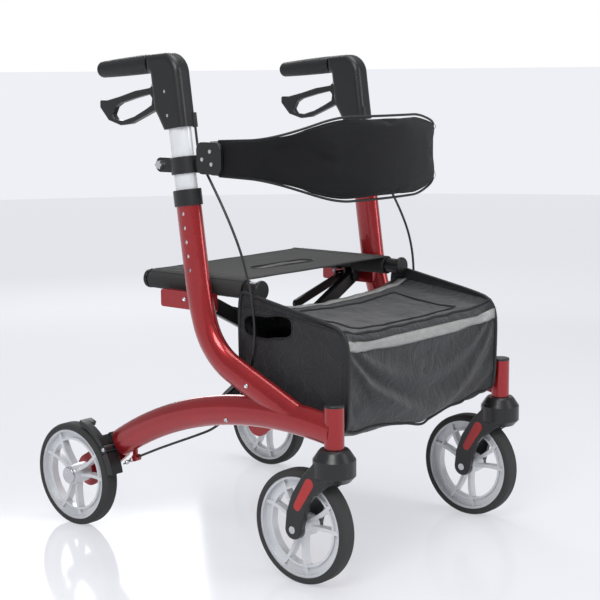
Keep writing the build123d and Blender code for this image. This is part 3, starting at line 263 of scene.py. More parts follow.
def cloth_weave():
    """Over-and-under threads on a layout in metres, with slow drifts of shade."""
    inputs = (("Coordinate", VECTOR, None), ("Threads", NUMBER, 900.0))
    tree, given, result = node_group(
        "cloth_weave", "ShaderNodeTree", inputs, (("Height", NUMBER), ("Shade", NUMBER))
    )
    place = node(tree, "ShaderNodeSeparateXYZ", {0: given["Coordinate"]})
    turn = maths(tree, "MULTIPLY", given["Threads"], math.pi)
    warp = maths(tree, "ABSOLUTE", maths(tree, "SINE", maths(tree, "MULTIPLY", place.outputs["X"], turn)))
    weft = maths(tree, "ABSOLUTE", maths(tree, "SINE", maths(tree, "MULTIPLY", place.outputs["Y"], turn)))
    over = node(tree, "ShaderNodeTexChecker", {"Vector": given["Coordinate"], "Scale": given["Threads"]})
    crossing = node(tree, "ShaderNodeMix", {0: over.outputs["Fac"], 2: warp, 3: weft})
    patch = node(tree, "ShaderNodeTexNoise", {"Vector": given["Coordinate"], "Scale": 14.0, "Detail": 6.0})
    tree.links.new(crossing.outputs[0], result["Height"])
    shade = maths(tree, "ADD", maths(tree, "MULTIPLY", crossing.outputs[0], 0.35), patch.outputs[0])
    tree.links.new(maths(tree, "ADD", shade, 0.25), result["Shade"])
    return tree


def soft_creases():
    """Low, directionless creases of handled cloth."""
    inputs = (("Coordinate", VECTOR, None), ("Scale", NUMBER, 22.0))
    tree, given, result = node_group("soft_creases", "ShaderNodeTree", inputs, (("Height", NUMBER),))
    warp = node(tree, "ShaderNodeTexNoise", {"Vector": given["Coordinate"], "Scale": given["Scale"], "Detail": 3.0, "Distortion": 1.4})
    ridge = maths(tree, "ABSOLUTE", maths(tree, "SUBTRACT", warp.outputs[0], 0.5))
    tree.links.new(maths(tree, "POWER", ridge, 0.7), result["Height"])
    return tree


def metal_flake():
    """Tiny flakes that catch the light in a metallic paint."""
    inputs = (("Coordinate", VECTOR, None), ("Scale", NUMBER, 1500.0))
    tree, given, result = node_group("metal_flake", "ShaderNodeTree", inputs, (("Shade", NUMBER),))
    cells = node(tree, "ShaderNodeTexVoronoi", {"Vector": given["Coordinate"], "Scale": given["Scale"]})
    pick = node(tree, "ShaderNodeSeparateColor", {0: cells.outputs["Color"]})
    tree.links.new(maths(tree, "ADD", maths(tree, "MULTIPLY", pick.outputs[0], 0.5), 0.75), result["Shade"])
    return tree


def shader_group(name):
    """The named effect's node group, built once."""
    return bpy.data.node_groups.get(name) or EFFECTS[name]()


EFFECTS = {
    "moulded_grain": moulded_grain,
    "edge_wear": edge_wear,
    "settled_dust": settled_dust,
    "cloth_weave": cloth_weave,
    "soft_creases": soft_creases,
    "metal_flake": metal_flake,
}


def effect(tree, name, coordinate, **values):
    """Place an effect in a material with its own values."""
    placed = node(tree, "ShaderNodeGroup", node_tree=shader_group(name))
    if coordinate is not None:
        tree.links.new(coordinate, placed.inputs["Coordinate"])
    for label, value in values.items():
        placed.inputs[label].default_value = value
    return placed.outputs


def blank_material(name):
    material = bpy.data.materials.new(name)
    material.use_nodes = True
    tree = material.node_tree
    return material, tree, tree.nodes["Principled BSDF"]


def tinted(tree, colour_value, shade):
    """The colour times a shade that changes over the surface."""
    grey = node(tree, "ShaderNodeCombineColor", {0: shade, 1: shade, 2: shade}).outputs[0]
    return blend_colour(tree, 1.0, (*colour_value, 1.0), grey, "MULTIPLY")


def varied_roughness(tree, base, shade, swing):
    drift = maths(tree, "MULTIPLY", maths(tree, "SUBTRACT", shade, 1.0), swing)
    return maths(tree, "ADD", drift, base, clamp=True)


def hard_finish(
    name, tint, roughness, metallic=0.0, grain=900.0, depth=0.0, mottle=0.15, wear=0.0,
    worn_and_painted_crease_shade=(0.1, 0.1, 0.1), dust=0.0, coat=0.0, flake=0.0, specular=0.5,
):
    """Paint, plastic, rubber or metal, with grain, drift, edge wear and a little dust."""
    material, tree, shader = blank_material(name)
    place = node(tree, "ShaderNodeTexCoord").outputs["Object"]
    skin = effect(tree, "moulded_grain", place, Scale=grain, Mottle=mottle)
    shade = skin["Shade"]
    if flake:
        shade = maths(tree, "MULTIPLY", shade, effect(tree, "metal_flake", place, Scale=flake)["Shade"])
    base = tinted(tree, tint, shade)
    if wear:
        rubbed_and_creased = effect(tree, "edge_wear", place, Amount=wear)["Mask"]
        base = blend_colour(tree, rubbed_and_creased, base, (*worn_and_painted_crease_shade, 1.0))
    if dust:
        film = effect(tree, "settled_dust", place, Amount=dust)["Mask"]
        base = blend_colour(tree, film, base, (0.32, 0.31, 0.30, 1.0))
    tree.links.new(base, shader.inputs["Base Color"])
    tree.links.new(varied_roughness(tree, roughness, skin["Shade"], 0.6), shader.inputs["Roughness"])
    shader.inputs["Metallic"].default_value = metallic
    shader.inputs["Coat Weight"].default_value = coat
    shader.inputs["Coat Roughness"].default_value = 0.06
    shader.inputs["Specular IOR Level"].default_value = specular
    if depth:
        bump = node(tree, "ShaderNodeBump", {"Height": skin["Height"], "Distance": depth, "Strength": 0.6})
        tree.links.new(bump.outputs[0], shader.inputs["Normal"])
    return material


def cloth_finish(name, tint, roughness, threads, depth, creases=0.0, crease_scale=22.0, sheen=0.3, specular=0.3):
    """Woven cloth on the piece's own layout, with creases and a soft sheen."""
    material, tree, shader = blank_material(name)
    layout = node(tree, "ShaderNodeUVMap", uv_map="layout").outputs[0]
    place = node(tree, "ShaderNodeTexCoord").outputs["Object"]
    weave = effect(tree, "cloth_weave", layout, Threads=threads)
    tree.links.new(tinted(tree, tint, weave["Shade"]), shader.inputs["Base Color"])
    tree.links.new(varied_roughness(tree, roughness, weave["Shade"], 0.25), shader.inputs["Roughness"])
    threads_up = node(tree, "ShaderNodeBump", {"Height": weave["Height"], "Distance": depth, "Strength": 0.7})
    normal = threads_up.outputs[0]
    if creases:
        folds = effect(tree, "soft_creases", place, Scale=crease_scale)["Height"]
        normal = node(
            tree, "ShaderNodeBump", {"Height": folds, "Distance": creases, "Strength": 0.8, "Normal": normal}
        ).outputs[0]
    tree.links.new(normal, shader.inputs["Normal"])
    shader.inputs["Sheen Weight"].default_value = sheen
    shader.inputs["Sheen Roughness"].default_value = 0.4
    shader.inputs["Specular IOR Level"].default_value = specular
    return material


def tape_finish(tint):
    """Reflective tape: a fine honeycomb under a clear film, creased, with painted shade darkening the crease lines."""
    material, tree, shader = blank_material("reflective_tape")
    layout = node(tree, "ShaderNodeUVMap", uv_map="layout").outputs[0]
    place = node(tree, "ShaderNodeTexCoord").outputs["Object"]
    cells = node(tree, "ShaderNodeTexVoronoi", {"Vector": layout, "Scale": 420.0}, feature="DISTANCE_TO_EDGE")
    edge = maths(tree, "MULTIPLY", cells.outputs[0], 4.0, clamp=True)
    shade = maths(tree, "ADD", maths(tree, "MULTIPLY", edge, 0.3), 0.8)
    # Crease field: gives the tape its bump, and below it also darkens the colour along the crease lines.
    rubbed_and_creased = effect(tree, "soft_creases", place, Scale=35.0)["Height"]
    # Painted shade: the colour is multiplied by 0.8 in the crease lines and rises away from them.
    worn_and_painted_crease_shade = maths(tree, "MULTIPLY", shade, maths(tree, "ADD", maths(tree, "MULTIPLY", rubbed_and_creased, 0.5), 0.8))
    tree.links.new(tinted(tree, tint, worn_and_painted_crease_shade), shader.inputs["Base Color"])
    tree.links.new(varied_roughness(tree, 0.38, worn_and_painted_crease_shade, 0.3), shader.inputs["Roughness"])
    bump = node(tree, "ShaderNodeBump", {"Height": rubbed_and_creased, "Distance": 0.002, "Strength": 0.6})
    tree.links.new(bump.outputs[0], shader.inputs["Normal"])
    shader.inputs["Coat Weight"].default_value = 0.15
    return material


def tube_finish(tint):
    """Satin white anodised tube, with fine lines drawn along it."""
    material, tree, shader = blank_material("handle_tube_white")
    place = node(tree, "ShaderNodeTexCoord").outputs["Object"]
    drawn = node(tree, "ShaderNodeMapping", {"Vector": place, "Scale": (1.0, 1.0, 0.02)})
    lines = effect(tree, "moulded_grain", drawn.outputs[0], Scale=2200.0, Mottle=0.05)
    tree.links.new(tinted(tree, tint, lines["Shade"]), shader.inputs["Base Color"])
    tree.links.new(varied_roughness(tree, 0.30, lines["Shade"], 0.8), shader.inputs["Roughness"])
    bump = node(tree, "ShaderNodeBump", {"Height": lines["Height"], "Distance": 0.00006, "Strength": 0.5})
    tree.links.new(bump.outputs[0], shader.inputs["Normal"])
    shader.inputs["Metallic"].default_value = 0.15
    return material


def tyre_finish(tint):
    """Tyre rubber with a scuffed running band and clean side walls."""
    material, tree, shader = blank_material("tyre_rubber")
    place = node(tree, "ShaderNodeTexCoord").outputs["Object"]
    skin = effect(tree, "moulded_grain", place, Scale=700.0, Mottle=0.3)
    normal = node(tree, "ShaderNodeSeparateXYZ", {0: node(tree, "ShaderNodeNewGeometry").outputs["Normal"]})
    running = maths(tree, "POWER", maths(tree, "SUBTRACT", 1.0, maths(tree, "ABSOLUTE", normal.outputs["X"])), 1.5)
    scuffs = node(tree, "ShaderNodeTexNoise", {"Vector": place, "Scale": 60.0, "Detail": 6.0})
    dusty = maths(tree, "MULTIPLY", maths(tree, "MULTIPLY", running, scuffs.outputs[0]), 0.18, clamp=True)
    base = blend_colour(tree, dusty, tinted(tree, tint, skin["Shade"]), (0.16, 0.15, 0.14, 1.0))
    tree.links.new(base, shader.inputs["Base Color"])
    tree.links.new(varied_roughness(tree, 0.55, skin["Shade"], 0.5), shader.inputs["Roughness"])
    bump = node(tree, "ShaderNodeBump", {"Height": skin["Height"], "Distance": 0.0003, "Strength": 0.6})
    tree.links.new(bump.outputs[0], shader.inputs["Normal"])
    return material


def steel_finish(tint):
    """Plated steel with turning marks."""
    material, tree, shader = blank_material("plated_steel")
    place = node(tree, "ShaderNodeTexCoord").outputs["Object"]
    skin = effect(tree, "moulded_grain", place, Scale=1600.0, Mottle=0.25)
    tree.links.new(tinted(tree, tint, skin["Shade"]), shader.inputs["Base Color"])
    tree.links.new(varied_roughness(tree, 0.24, skin["Shade"], 1.0), shader.inputs["Roughness"])
    bump = node(tree, "ShaderNodeBump", {"Height": skin["Height"], "Distance": 0.00008, "Strength": 0.5})
    tree.links.new(bump.outputs[0], shader.inputs["Normal"])
    shader.inputs["Metallic"].default_value = 1.0
    return material


def finishes():
    """Every finish of the walker by name, built once."""
    if "frame_paint" in bpy.data.materials:
        return bpy.data.materials
    tints = bpy.context.scene.rollator_colours
    bare = (0.35, 0.33, 0.32)
    hard_finish(
        "frame_paint", tints.paint, 0.30, metallic=0.55, grain=500.0, mottle=0.12,
        wear=0.12, worn_and_painted_crease_shade=bare, dust=0.05, coat=0.75, flake=1400.0,
    )
    hard_finish("insert_red", tints.insert, 0.34, grain=700.0, depth=0.00015, wear=0.15, worn_and_painted_crease_shade=(0.6, 0.2, 0.18), coat=0.2)
    hard_finish("moulded_black", tints.plastic, 0.36, grain=1100.0, depth=0.0003, wear=0.30, worn_and_painted_crease_shade=(0.09, 0.09, 0.09), dust=0.05)
    hard_finish("fork_black", tints.plastic, 0.30, grain=900.0, depth=0.0002, wear=0.30, worn_and_painted_crease_shade=(0.10, 0.10, 0.10), dust=0.05)
    hard_finish("grip_rubber", (0.014, 0.014, 0.015), 0.50, grain=1500.0, depth=0.0005, dust=0.05, specular=0.4)
    hard_finish("bar_black", (0.010, 0.010, 0.011), 0.33, metallic=0.3, grain=1300.0, depth=0.0001, wear=0.35, worn_and_painted_crease_shade=bare, dust=0.06)
    hard_finish("cable_sheath", (0.011, 0.011, 0.012), 0.36, grain=1800.0, depth=0.0001, dust=0.05)
    hard_finish(
        "rim_silver", tints.rim, 0.34, metallic=0.25, grain=600.0, depth=0.0001, mottle=0.05,
        wear=0.15, worn_and_painted_crease_shade=(0.9, 0.9, 0.9), dust=0.04, coat=0.25,
    )
    hard_finish("thread_black", (0.02, 0.02, 0.022), 0.7, grain=2500.0, depth=0.0002)
    hard_finish("piping_black", (0.010, 0.010, 0.012), 0.52, grain=1700.0, depth=0.0003, mottle=0.3)
    tube_finish(tints.tube)
    tyre_finish(tints.tyre)
    steel_finish(tints.steel)
    tape_finish(tints.tape)
    cloth_finish("seat_cloth", tints.seat, 0.50, 620.0, 0.0005, creases=0.0012, crease_scale=16.0, sheen=0.25, specular=0.45)
    cloth_finish("band_cloth", tints.band, 0.72, 1000.0, 0.0003, creases=0.0008, crease_scale=12.0, sheen=0.10, specular=0.2)
    cloth_finish("bag_nylon", tints.bag, 0.42, 1300.0, 0.0002, creases=0.0035, crease_scale=26.0, sheen=0.30, specular=0.45)
    cloth_finish("strap_webbing", (0.035, 0.033, 0.030), 0.55, 800.0, 0.0006, sheen=0.2)
    return bpy.data.materials


NODE_FINISH = {
    "side_frame": "frame_paint",
    "frame_fittings": "moulded_black",
    "collar": "moulded_black",
    "handle_tube": "handle_tube_white",
    "height_button": "plated_steel",
    "handle_shell_outer": "moulded_black",
    "handle_shell_inner": "moulded_black",
    "grip": "grip_rubber",
    "brake_lever": "moulded_black",
    "handle_screws": "plated_steel",
    "back_clamp": "moulded_black",
    "back_plate": "moulded_black",
    "back_bolts": "plated_steel",
    "guide_link": "bar_black",
    "seat_rail": "bar_black",
    "caster_fork": "fork_black",
    "fork_insert": "insert_red",
    "caster_stem": "plated_steel",
    "front_rim": "rim_silver",
    "rear_rim": "rim_silver",
    "front_tyre": "tyre_rubber",
    "rear_tyre": "tyre_rubber",
    "front_axle": "plated_steel",
    "rear_axle": "plated_steel",
    "brake_bracket": "moulded_black",
    "brake_arm": "moulded_black",
    "brake_cable": "cable_sheath",
    "x_bar_a": "bar_black",
    "x_bar_b": "bar_black",
    "cross_pin": "plated_steel",
    "seat_fabric": "seat_cloth",
    "backrest_band": "band_cloth",
    "bag": "bag_nylon",
}


# ---------------------------------------------------------------- mesh helpers


def show(obj):
    bpy.context.scene.collection.objects.link(obj)
    return obj


def settle(obj):
    """Turn an object's modifiers into its plain mesh."""
    graph = bpy.context.evaluated_depsgraph_get()
    mesh = bpy.data.meshes.new_from_object(obj.evaluated_get(graph))
    obj.modifiers.clear()
    obj.data = mesh
    return obj


def steps_along(points):
    """Running length along a row of points."""
    gaps = np.linalg.norm(np.diff(points, axis=0), axis=1)
    return np.concatenate([[0.0], np.cumsum(gaps)])


def grid_piece(name, grid, material, closed=False, keep=None):
    """A smooth mesh over a grid of points, with a layout in metres. closed joins the last row to the first."""
    rows, cols = grid.shape[:2]
    around = np.concatenate([grid, grid[:1]]) if closed else grid
    down = steps_along(around[:, cols // 2])
    across = steps_along(grid[rows // 2])
    cells = [
        ((i, j), (i, j + 1), (i + 1, j + 1), (i + 1, j))
        for i in range(len(around) - 1)
        for j in range(cols - 1)
        if keep is None or keep(i, j)
    ]
    faces = [[(i % rows) * cols + j for i, j in cell] for cell in cells]
    mesh = bpy.data.meshes.new(name)
    mesh.from_pydata(grid.reshape(-1, 3).tolist(), [], faces)
    layer = mesh.uv_layers.new(name="layout")
    flat = np.array([(across[j], down[i]) for cell in cells for i, j in cell], np.float32)
    layer.data.foreach_set("uv", flat.ravel())
    mesh.polygons.foreach_set("use_smooth", [True] * len(mesh.polygons))
    mesh.materials.append(material)
    obj = show(bpy.data.objects.new(name, mesh))
    drop_loose(mesh)
    return obj


def drop_loose(mesh):
    work = bmesh.new()
    work.from_mesh(mesh)
    loose = [v for v in work.verts if not v.link_faces]
    bmesh.ops.delete(work, geom=loose, context="VERTS")
    work.to_mesh(mesh)
    work.free()


def face_outwards(mesh):
    work = bmesh.new()
    work.from_mesh(mesh)
    bmesh.ops.recalc_face_normals(work, faces=work.faces)
    work.to_mesh(mesh)
    work.free()


def thicken(obj, depth, offset=-1.0):
    """Give a sheet its thickness, as a plain mesh."""
    wall = obj.modifiers.new("wall", "SOLIDIFY")
    wall.thickness = depth
    wall.offset = offset
    return settle(obj)


def subdivide(obj, levels=1):
    smooth = obj.modifiers.new("smooth", "SUBSURF")
    smooth.levels = levels
    smooth.render_levels = levels
    return settle(obj)


def rounded_path(corners, radii, arc_steps=14):
    """Points along a polyline in a plane whose corners are arcs."""
    corners = [Vector((*c, 0.0)) for c in corners]
    path = [corners[0]]
    for before, here, after, radius in zip(corners, corners[1:], corners[2:], radii):
        back = (before - here).normalized()
        ahead = (after - here).normalized()
        half = back.angle(ahead) / 2
        centre = here + (back + ahead).normalized() * radius / math.sin(half)
        first = (here + back * radius / math.tan(half) - centre).normalized()
        last = (here + ahead * radius / math.tan(half) - centre).normalized()
        path += [centre + first.slerp(last, k / arc_steps) * radius for k in range(arc_steps + 1)]
    path.append(corners[-1])
    return np.array([p.xy for p in path])


def spread_evenly(points, count, closed=False):
    """The same line with this many points at equal steps."""
    points = np.array(points, float)
    if closed:
        points = np.concatenate([points, points[:1]])
    run = steps_along(points)
    wanted = np.linspace(0.0, run[-1], count + 1)[:-1] if closed else np.linspace(0.0, run[-1], count)
    return np.stack([np.interp(wanted, run, points[:, k]) for k in range(points.shape[1])], axis=1)


def simulate_cloth(obj, cap, pinned, pressure=0.0, gravity=0.0, slack=0.0, frames=CLOTH_FRAMES):
    """Let the mesh settle as cloth, hold the pinned points, and move no point further than cap."""
    rest = np.array([v.co for v in obj.data.vertices])
    holder = obj.vertex_groups.new(name="held")
    holder.add([int(i) for i in pinned], 1.0, "REPLACE")
    cloth = obj.modifiers.new("cloth", "CLOTH")
    settings = cloth.settings
    settings.quality = 6
    settings.mass = 0.25
    settings.vertex_group_mass = "held"
    settings.tension_stiffness = 12.0
    settings.compression_stiffness = 12.0
    settings.shear_stiffness = 5.0
    settings.bending_stiffness = 0.6
    settings.shrink_min = -slack
    settings.effector_weights.gravity = gravity
    if pressure:
        settings.use_pressure = True
        settings.uniform_pressure_force = pressure
    cloth.collision_settings.use_collision = False
    cloth.collision_settings.use_self_collision = False
    cloth.point_cache.frame_start = 1
    cloth.point_cache.frame_end = frames
    scene = bpy.context.scene
    for step in range(1, frames + 1):
        scene.frame_set(step)
    graph = bpy.context.evaluated_depsgraph_get()
    moved = np.array([v.co for v in obj.evaluated_get(graph).data.vertices])
    obj.modifiers.clear()
    obj.vertex_groups.clear()
    scene.frame_set(1)
    shift = moved - rest
    reach = np.linalg.norm(shift, axis=1, keepdims=True)
    shift *= np.minimum(1.0, cap / np.maximum(reach, 1e-9))
    obj.data.vertices.foreach_set("co", (rest + shift).astype(np.float32).ravel())
    obj.data.update()
    return obj


# ---------------------------------------------------------------- geometry trees


def tree_end(tree, shape, given, result):
    """Realize instances and set the material, as every tree here ends."""
    real = node(tree, "GeometryNodeRealizeInstances", {"Geometry": shape})
    smooth = node(tree, "GeometryNodeSetShadeSmooth", {"Geometry": real.outputs[0]})
    painted = node(tree, "GeometryNodeSetMaterial", {"Geometry": smooth.outputs[0], "Material": given["Material"]})
    tree.links.new(painted.outputs[0], result["Geometry"])
    return tree


def beading_tree():
    """A round bead that follows a line of edges."""
    inputs = (
        ("Geometry", "NodeSocketGeometry", None), ("Radius", NUMBER, 0.003),
        ("Step", NUMBER, 0.006), ("Material", "NodeSocketMaterial", None),
    )
    tree, given, result = node_group("beading", "GeometryNodeTree", inputs, (("Geometry", "NodeSocketGeometry"),))
    line = node(tree, "GeometryNodeMeshToCurve", {"Mesh": given["Geometry"]})
    even = node(tree, "GeometryNodeResampleCurve", {"Curve": line.outputs[0], "Length": given["Step"]}, mode="LENGTH")
    section = node(tree, "GeometryNodeCurvePrimitiveCircle", {"Resolution": 10, "Radius": given["Radius"]})
    bead = node(
        tree, "GeometryNodeCurveToMesh",
        {"Curve": even.outputs[0], "Profile Curve": section.outputs[0], "Fill Caps": True},
    )
    return tree_end(tree, bead.outputs[0], given, result)


def stitching_tree():
    """Thread stitches laid along a line of edges."""
    inputs = (
        ("Geometry", "NodeSocketGeometry", None), ("Pitch", NUMBER, 0.004), ("Stitch", NUMBER, 0.0026),
        ("Thread", NUMBER, 0.0005), ("Material", "NodeSocketMaterial", None),
    )
    tree, given, result = node_group("stitching", "GeometryNodeTree", inputs, (("Geometry", "NodeSocketGeometry"),))
    line = node(tree, "GeometryNodeMeshToCurve", {"Mesh": given["Geometry"]})
    even = node(tree, "GeometryNodeResampleCurve", {"Curve": line.outputs[0], "Length": given["Pitch"]}, mode="LENGTH")
    ball = node(tree, "GeometryNodeMeshUVSphere", {"Segments": 6, "Rings": 5, "Radius": 1.0})
    half = maths(tree, "MULTIPLY", given["Stitch"], 0.5)
    size = node(tree, "ShaderNodeCombineXYZ", {0: half, 1: given["Thread"], 2: given["Thread"]})
    stitch = node(tree, "GeometryNodeTransform", {"Geometry": ball.outputs[0], "Scale": size.outputs[0]})
    heading = node(tree, "GeometryNodeInputTangent")
    turn = node(tree, "FunctionNodeAlignRotationToVector", {"Vector": heading.outputs[0]}, axis="X")
    laid = node(
        tree, "GeometryNodeInstanceOnPoints",
        {"Points": even.outputs[0], "Instance": stitch.outputs[0], "Rotation": turn.outputs[0]},
    )
    return tree_end(tree, laid.outputs[0], given, result)


def bolting_tree():
    """A bolt head at each point, facing as the point's facing attribute says."""
    inputs = (
        ("Geometry", "NodeSocketGeometry", None), ("Head", "NodeSocketObject", None),
        ("Radius", NUMBER, 0.004), ("Material", "NodeSocketMaterial", None),
    )
    tree, given, result = node_group("bolting", "GeometryNodeTree", inputs, (("Geometry", "NodeSocketGeometry"),))
    head = node(tree, "GeometryNodeObjectInfo", {"Object": given["Head"]})
    facing = node(tree, "GeometryNodeInputNamedAttribute", {"Name": "facing"}, data_type="FLOAT_VECTOR")
    turn = node(tree, "FunctionNodeAlignRotationToVector", {"Vector": facing.outputs[0]}, axis="Z")
    set_heads = node(
        tree, "GeometryNodeInstanceOnPoints",
        {
            "Points": given["Geometry"], "Instance": head.outputs["Geometry"],
            "Rotation": turn.outputs[0], "Scale": given["Radius"],
        },
    )
    return tree_end(tree, set_heads.outputs[0], given, result)


TREES = {"beading": beading_tree, "stitching": stitching_tree, "bolting": bolting_tree}


def grow(name, mesh, tree_name, material, **sizes):
    """Run a geometry tree on a mesh of points or edges, and keep the result as a plain mesh."""
    tree = bpy.data.node_groups.get(tree_name) or TREES[tree_name]()
    sockets = {i.name: i.identifier for i in tree.interface.items_tree if i.item_type == "SOCKET" and i.in_out == "INPUT"}
    seed = show(bpy.data.objects.new(name + "_line", mesh))
    modifier = seed.modifiers.new("grow", "NODES")
    modifier.node_group = tree
    modifier[sockets["Material"]] = material
    for label, value in sizes.items():
        modifier[sockets[label]] = value
    graph = bpy.context.evaluated_depsgraph_get()
    grown = bpy.data.meshes.new_from_object(seed.evaluated_get(graph))
    bpy.data.objects.remove(seed)
    face_outwards(grown)
    grown.name = name
    return show(bpy.data.objects.new(name, grown))


def line_mesh(lines, closed=False):
    """A mesh of edges along one or more rows of points."""
    points, edges = [], []
    for line in lines:
        first = len(points)
        points += [tuple(p) for p in line]
        edges += [(k, k + 1) for k in range(first, len(points) - 1)]
        if closed:
            edges.append((len(points) - 1, first))
    mesh = bpy.data.meshes.new("line")
    mesh.from_pydata(points, edges, [])
    return mesh


# ---------------------------------------------------------------- cables

CABLE_POINTS = (
    (0.241, -0.0198, 0.795), (0.241, -0.0232, 0.770), (0.241, -0.0305, 0.717), (0.2415, -0.057, 0.678),
    (0.242, -0.082, 0.641), (0.243, -0.108, 0.599), (0.243, -0.131, 0.553), (0.241, -0.144, 0.507),
    (0.236, -0.150, 0.459), (0.232, -0.150, 0.409), (0.231, -0.140, 0.358), (0.231, -0.119, 0.309),
    (0.2315, -0.090, 0.266), (0.237, -0.054, 0.232), (0.244, -0.010, 0.2125), (0.251, 0.036, 0.1935),
    (0.253, 0.084, 0.1735), (0.253, 0.1314, 0.152),
)


def spline_curve(name, points, bevel):
    """A NURBS curve through open space, with these control points."""
    curve = bpy.data.curves.new(name, "CURVE")
    curve.dimensions = "3D"
    curve.resolution_u = 10
    curve.bevel_depth = bevel
    curve.bevel_resolution = 4
    curve.use_fill_caps = True
    spline = curve.splines.new("NURBS")
    spline.points.add(len(points) - 1)
    for point, place in zip(spline.points, points):
        point.co = (*place, 1.0)
    spline.order_u = 3
    spline.use_endpoint_u = True
    return show(bpy.data.objects.new(name, curve))


def curve_points(points):
    """The spline's own points, read from a curve with no bevel."""
    bare = spline_curve("route", points, 0.0)
    graph = bpy.context.evaluated_depsgraph_get()
    mesh = bpy.data.meshes.new_from_object(bare.evaluated_get(graph))
    line = [tuple(v.co) for v in mesh.vertices]
    bpy.data.objects.remove(bare)
    return line


def brake_cable(name, sign):
    """One brake cable: its top stays in the handle, and its foot in the stop under the arch."""
    sizes = bpy.context.scene.rollator_cables
    route = [(sign * x, y, z) for x, y, z in CABLE_POINTS]
    tube = spline_curve(f"cable_{name}_curve", route, sizes.diameter / 2)
    graph = bpy.context.evaluated_depsgraph_get()
    mesh = bpy.data.meshes.new_from_object(tube.evaluated_get(graph))
    bpy.data.objects.remove(tube)
    mesh.materials.clear()
    mesh.materials.append(finishes()["cable_sheath"])
    mesh.polygons.foreach_set("use_smooth", [True] * len(mesh.polygons))
    face_outwards(mesh)
    cable = show(bpy.data.objects.new(f"cable_{name}", mesh))
    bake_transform(cable)
    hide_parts(f"brake_cable_{name}")
    curve_points(route)


# ---------------------------------------------------------------- seat


def seat_sleeve(name, sign):
    """The cloth sleeve around one seat rail, open underneath where the bar's lugs come through."""
    sizes = bpy.context.scene.rollator_seat
    lug_gap = (-0.029, 0.009) if sign > 0 else (-0.026, 0.012)
    rows = np.linspace(sizes.front, sizes.back, 70)
    turns = np.linspace(0.0, 2 * math.pi, 49)[:-1]
    grid = np.zeros((len(turns), len(rows), 3))
    for i, turn in enumerate(turns):
        for j, y in enumerate(rows):
            ruffle = 0.0004 * noise.noise((6 * math.cos(turn), y * 90, sign * 3.0))
            gather = 0.0005 * math.cos(2 * math.pi * (y - sizes.front) / 0.059)
            radius = sizes.sleeve_radius - 0.0004 + ruffle - abs(gather) * 0.3
            grid[i, j] = (
                sign * (RAIL_X + radius * math.sin(turn)), y, RAIL_Z + radius * math.cos(turn)
            )

    def cloth_here(i, j):
        low = abs(turns[i] - math.pi) < math.radians(80)
        return not (low and lug_gap[0] < rows[j] < lug_gap[1])

    sleeve = grid_piece(f"seat_sleeve_{name}", grid, finishes()["seat_cloth"], closed=True, keep=cloth_here)
    face_ring_outwards(sleeve, Vector((sign * RAIL_X, 0.0, RAIL_Z)))
    thicken(sleeve, sizes.sleeve_wall - 0.0008)
    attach(sleeve, f"{name}_rail")
    return sleeve


def face_ring_outwards(obj, centre):
    """Turn an open ring's faces away from the line along Y through centre."""
    mesh = obj.data
    face = mesh.polygons[0]
    away = Vector((face.center.x - centre.x, 0.0, face.center.z - centre.z))
    if face.normal.dot(away) < 0:
        mesh.flip_normals()


def slot_depth(x, y, sizes, middle_y):
    """How far the panel is pressed down at this point of the strap's recess."""
    half = (sizes.slot_length - sizes.slot_width) / 2
    across = math.hypot(max(0.0, abs(x) - half), y - middle_y)
    edge = (sizes.slot_width / 2 - across) / 0.0035
    return 0.0030 * min(1.0, max(0.0, edge))


def seat_panel():
    """The taut seat panel, with the recess of its pull strap pressed in and a hem all round."""
    sizes = bpy.context.scene.rollator_seat
    top = RAIL_Z + sizes.sleeve_radius
    columns = np.linspace(-RAIL_X - 0.010, RAIL_X + 0.010, 261)
    rows = np.linspace(sizes.front + 0.001, sizes.back - 0.001, 150)
    middle_y = -0.010
    surface = np.zeros((len(rows), len(columns), 3))
    for i, y in enumerate(rows):
        for j, x in enumerate(columns):
            share = min(1.0, abs(x) / RAIL_X)
            sag = 0.0022 * (1 - share**2) * math.sin(math.pi * i / (len(rows) - 1)) ** 0.5
            wave = 0.0009 * noise.noise((x * 11, y * 17, 4.0)) * (1 - share**4)
            pull = 0.0006 * math.sin((y - x * 0.15) * 210) * math.exp(-((RAIL_X - abs(x)) / 0.030) ** 2)
            height = top + 0.0002 - sag + wave + pull - slot_depth(x, y, sizes, middle_y)
            if abs(x) > RAIL_X:
                height = RAIL_Z + math.sqrt((sizes.sleeve_radius + 0.0002) ** 2 - (abs(x) - RAIL_X) ** 2)
            surface[i, j] = (x, y, height)
    panel = grid_piece("seat_panel", surface, finishes()["seat_cloth"])
    if panel.data.polygons[0].normal.z < 0:
        panel.data.flip_normals()
    thicken(panel, sizes.thickness - 0.0016)
    strap = seat_strap(sizes, top, middle_y)
    hem_lines = [
        surface[4, 8:-8], surface[-5, 8:-8], surface[8:-8, 6], surface[8:-8, -7],
        surface[4:-4, 18], surface[4:-4, -19],
    ]
    stitches = grow(
        "seat_stitches", line_mesh([line + (0.0, 0.0, 0.0003) for line in hem_lines]), "stitching",
        finishes()["thread_black"], Pitch=0.0042, Stitch=0.0028, Thread=0.0004,
    )
    rim_turns = np.linspace(0, 2 * math.pi, 97)[:-1]
    half = (sizes.slot_length - sizes.slot_width) / 2
    bend = sizes.slot_width / 2 + 0.0008
    rim = [
        (math.copysign(half, math.cos(t)) * (abs(math.cos(t)) > 1e-6) + bend * math.cos(t), middle_y + bend * math.sin(t), top - 0.0016)
        for t in rim_turns
    ]
    binding = grow(
        "seat_slot_binding", line_mesh([rim], closed=True), "beading",
        finishes()["piping_black"], Radius=0.0011, Step=0.003,
    )
    for piece in (panel, strap, stitches, binding):
        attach(piece, "right_rail")
        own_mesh(piece)
    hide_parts("seat_fabric")


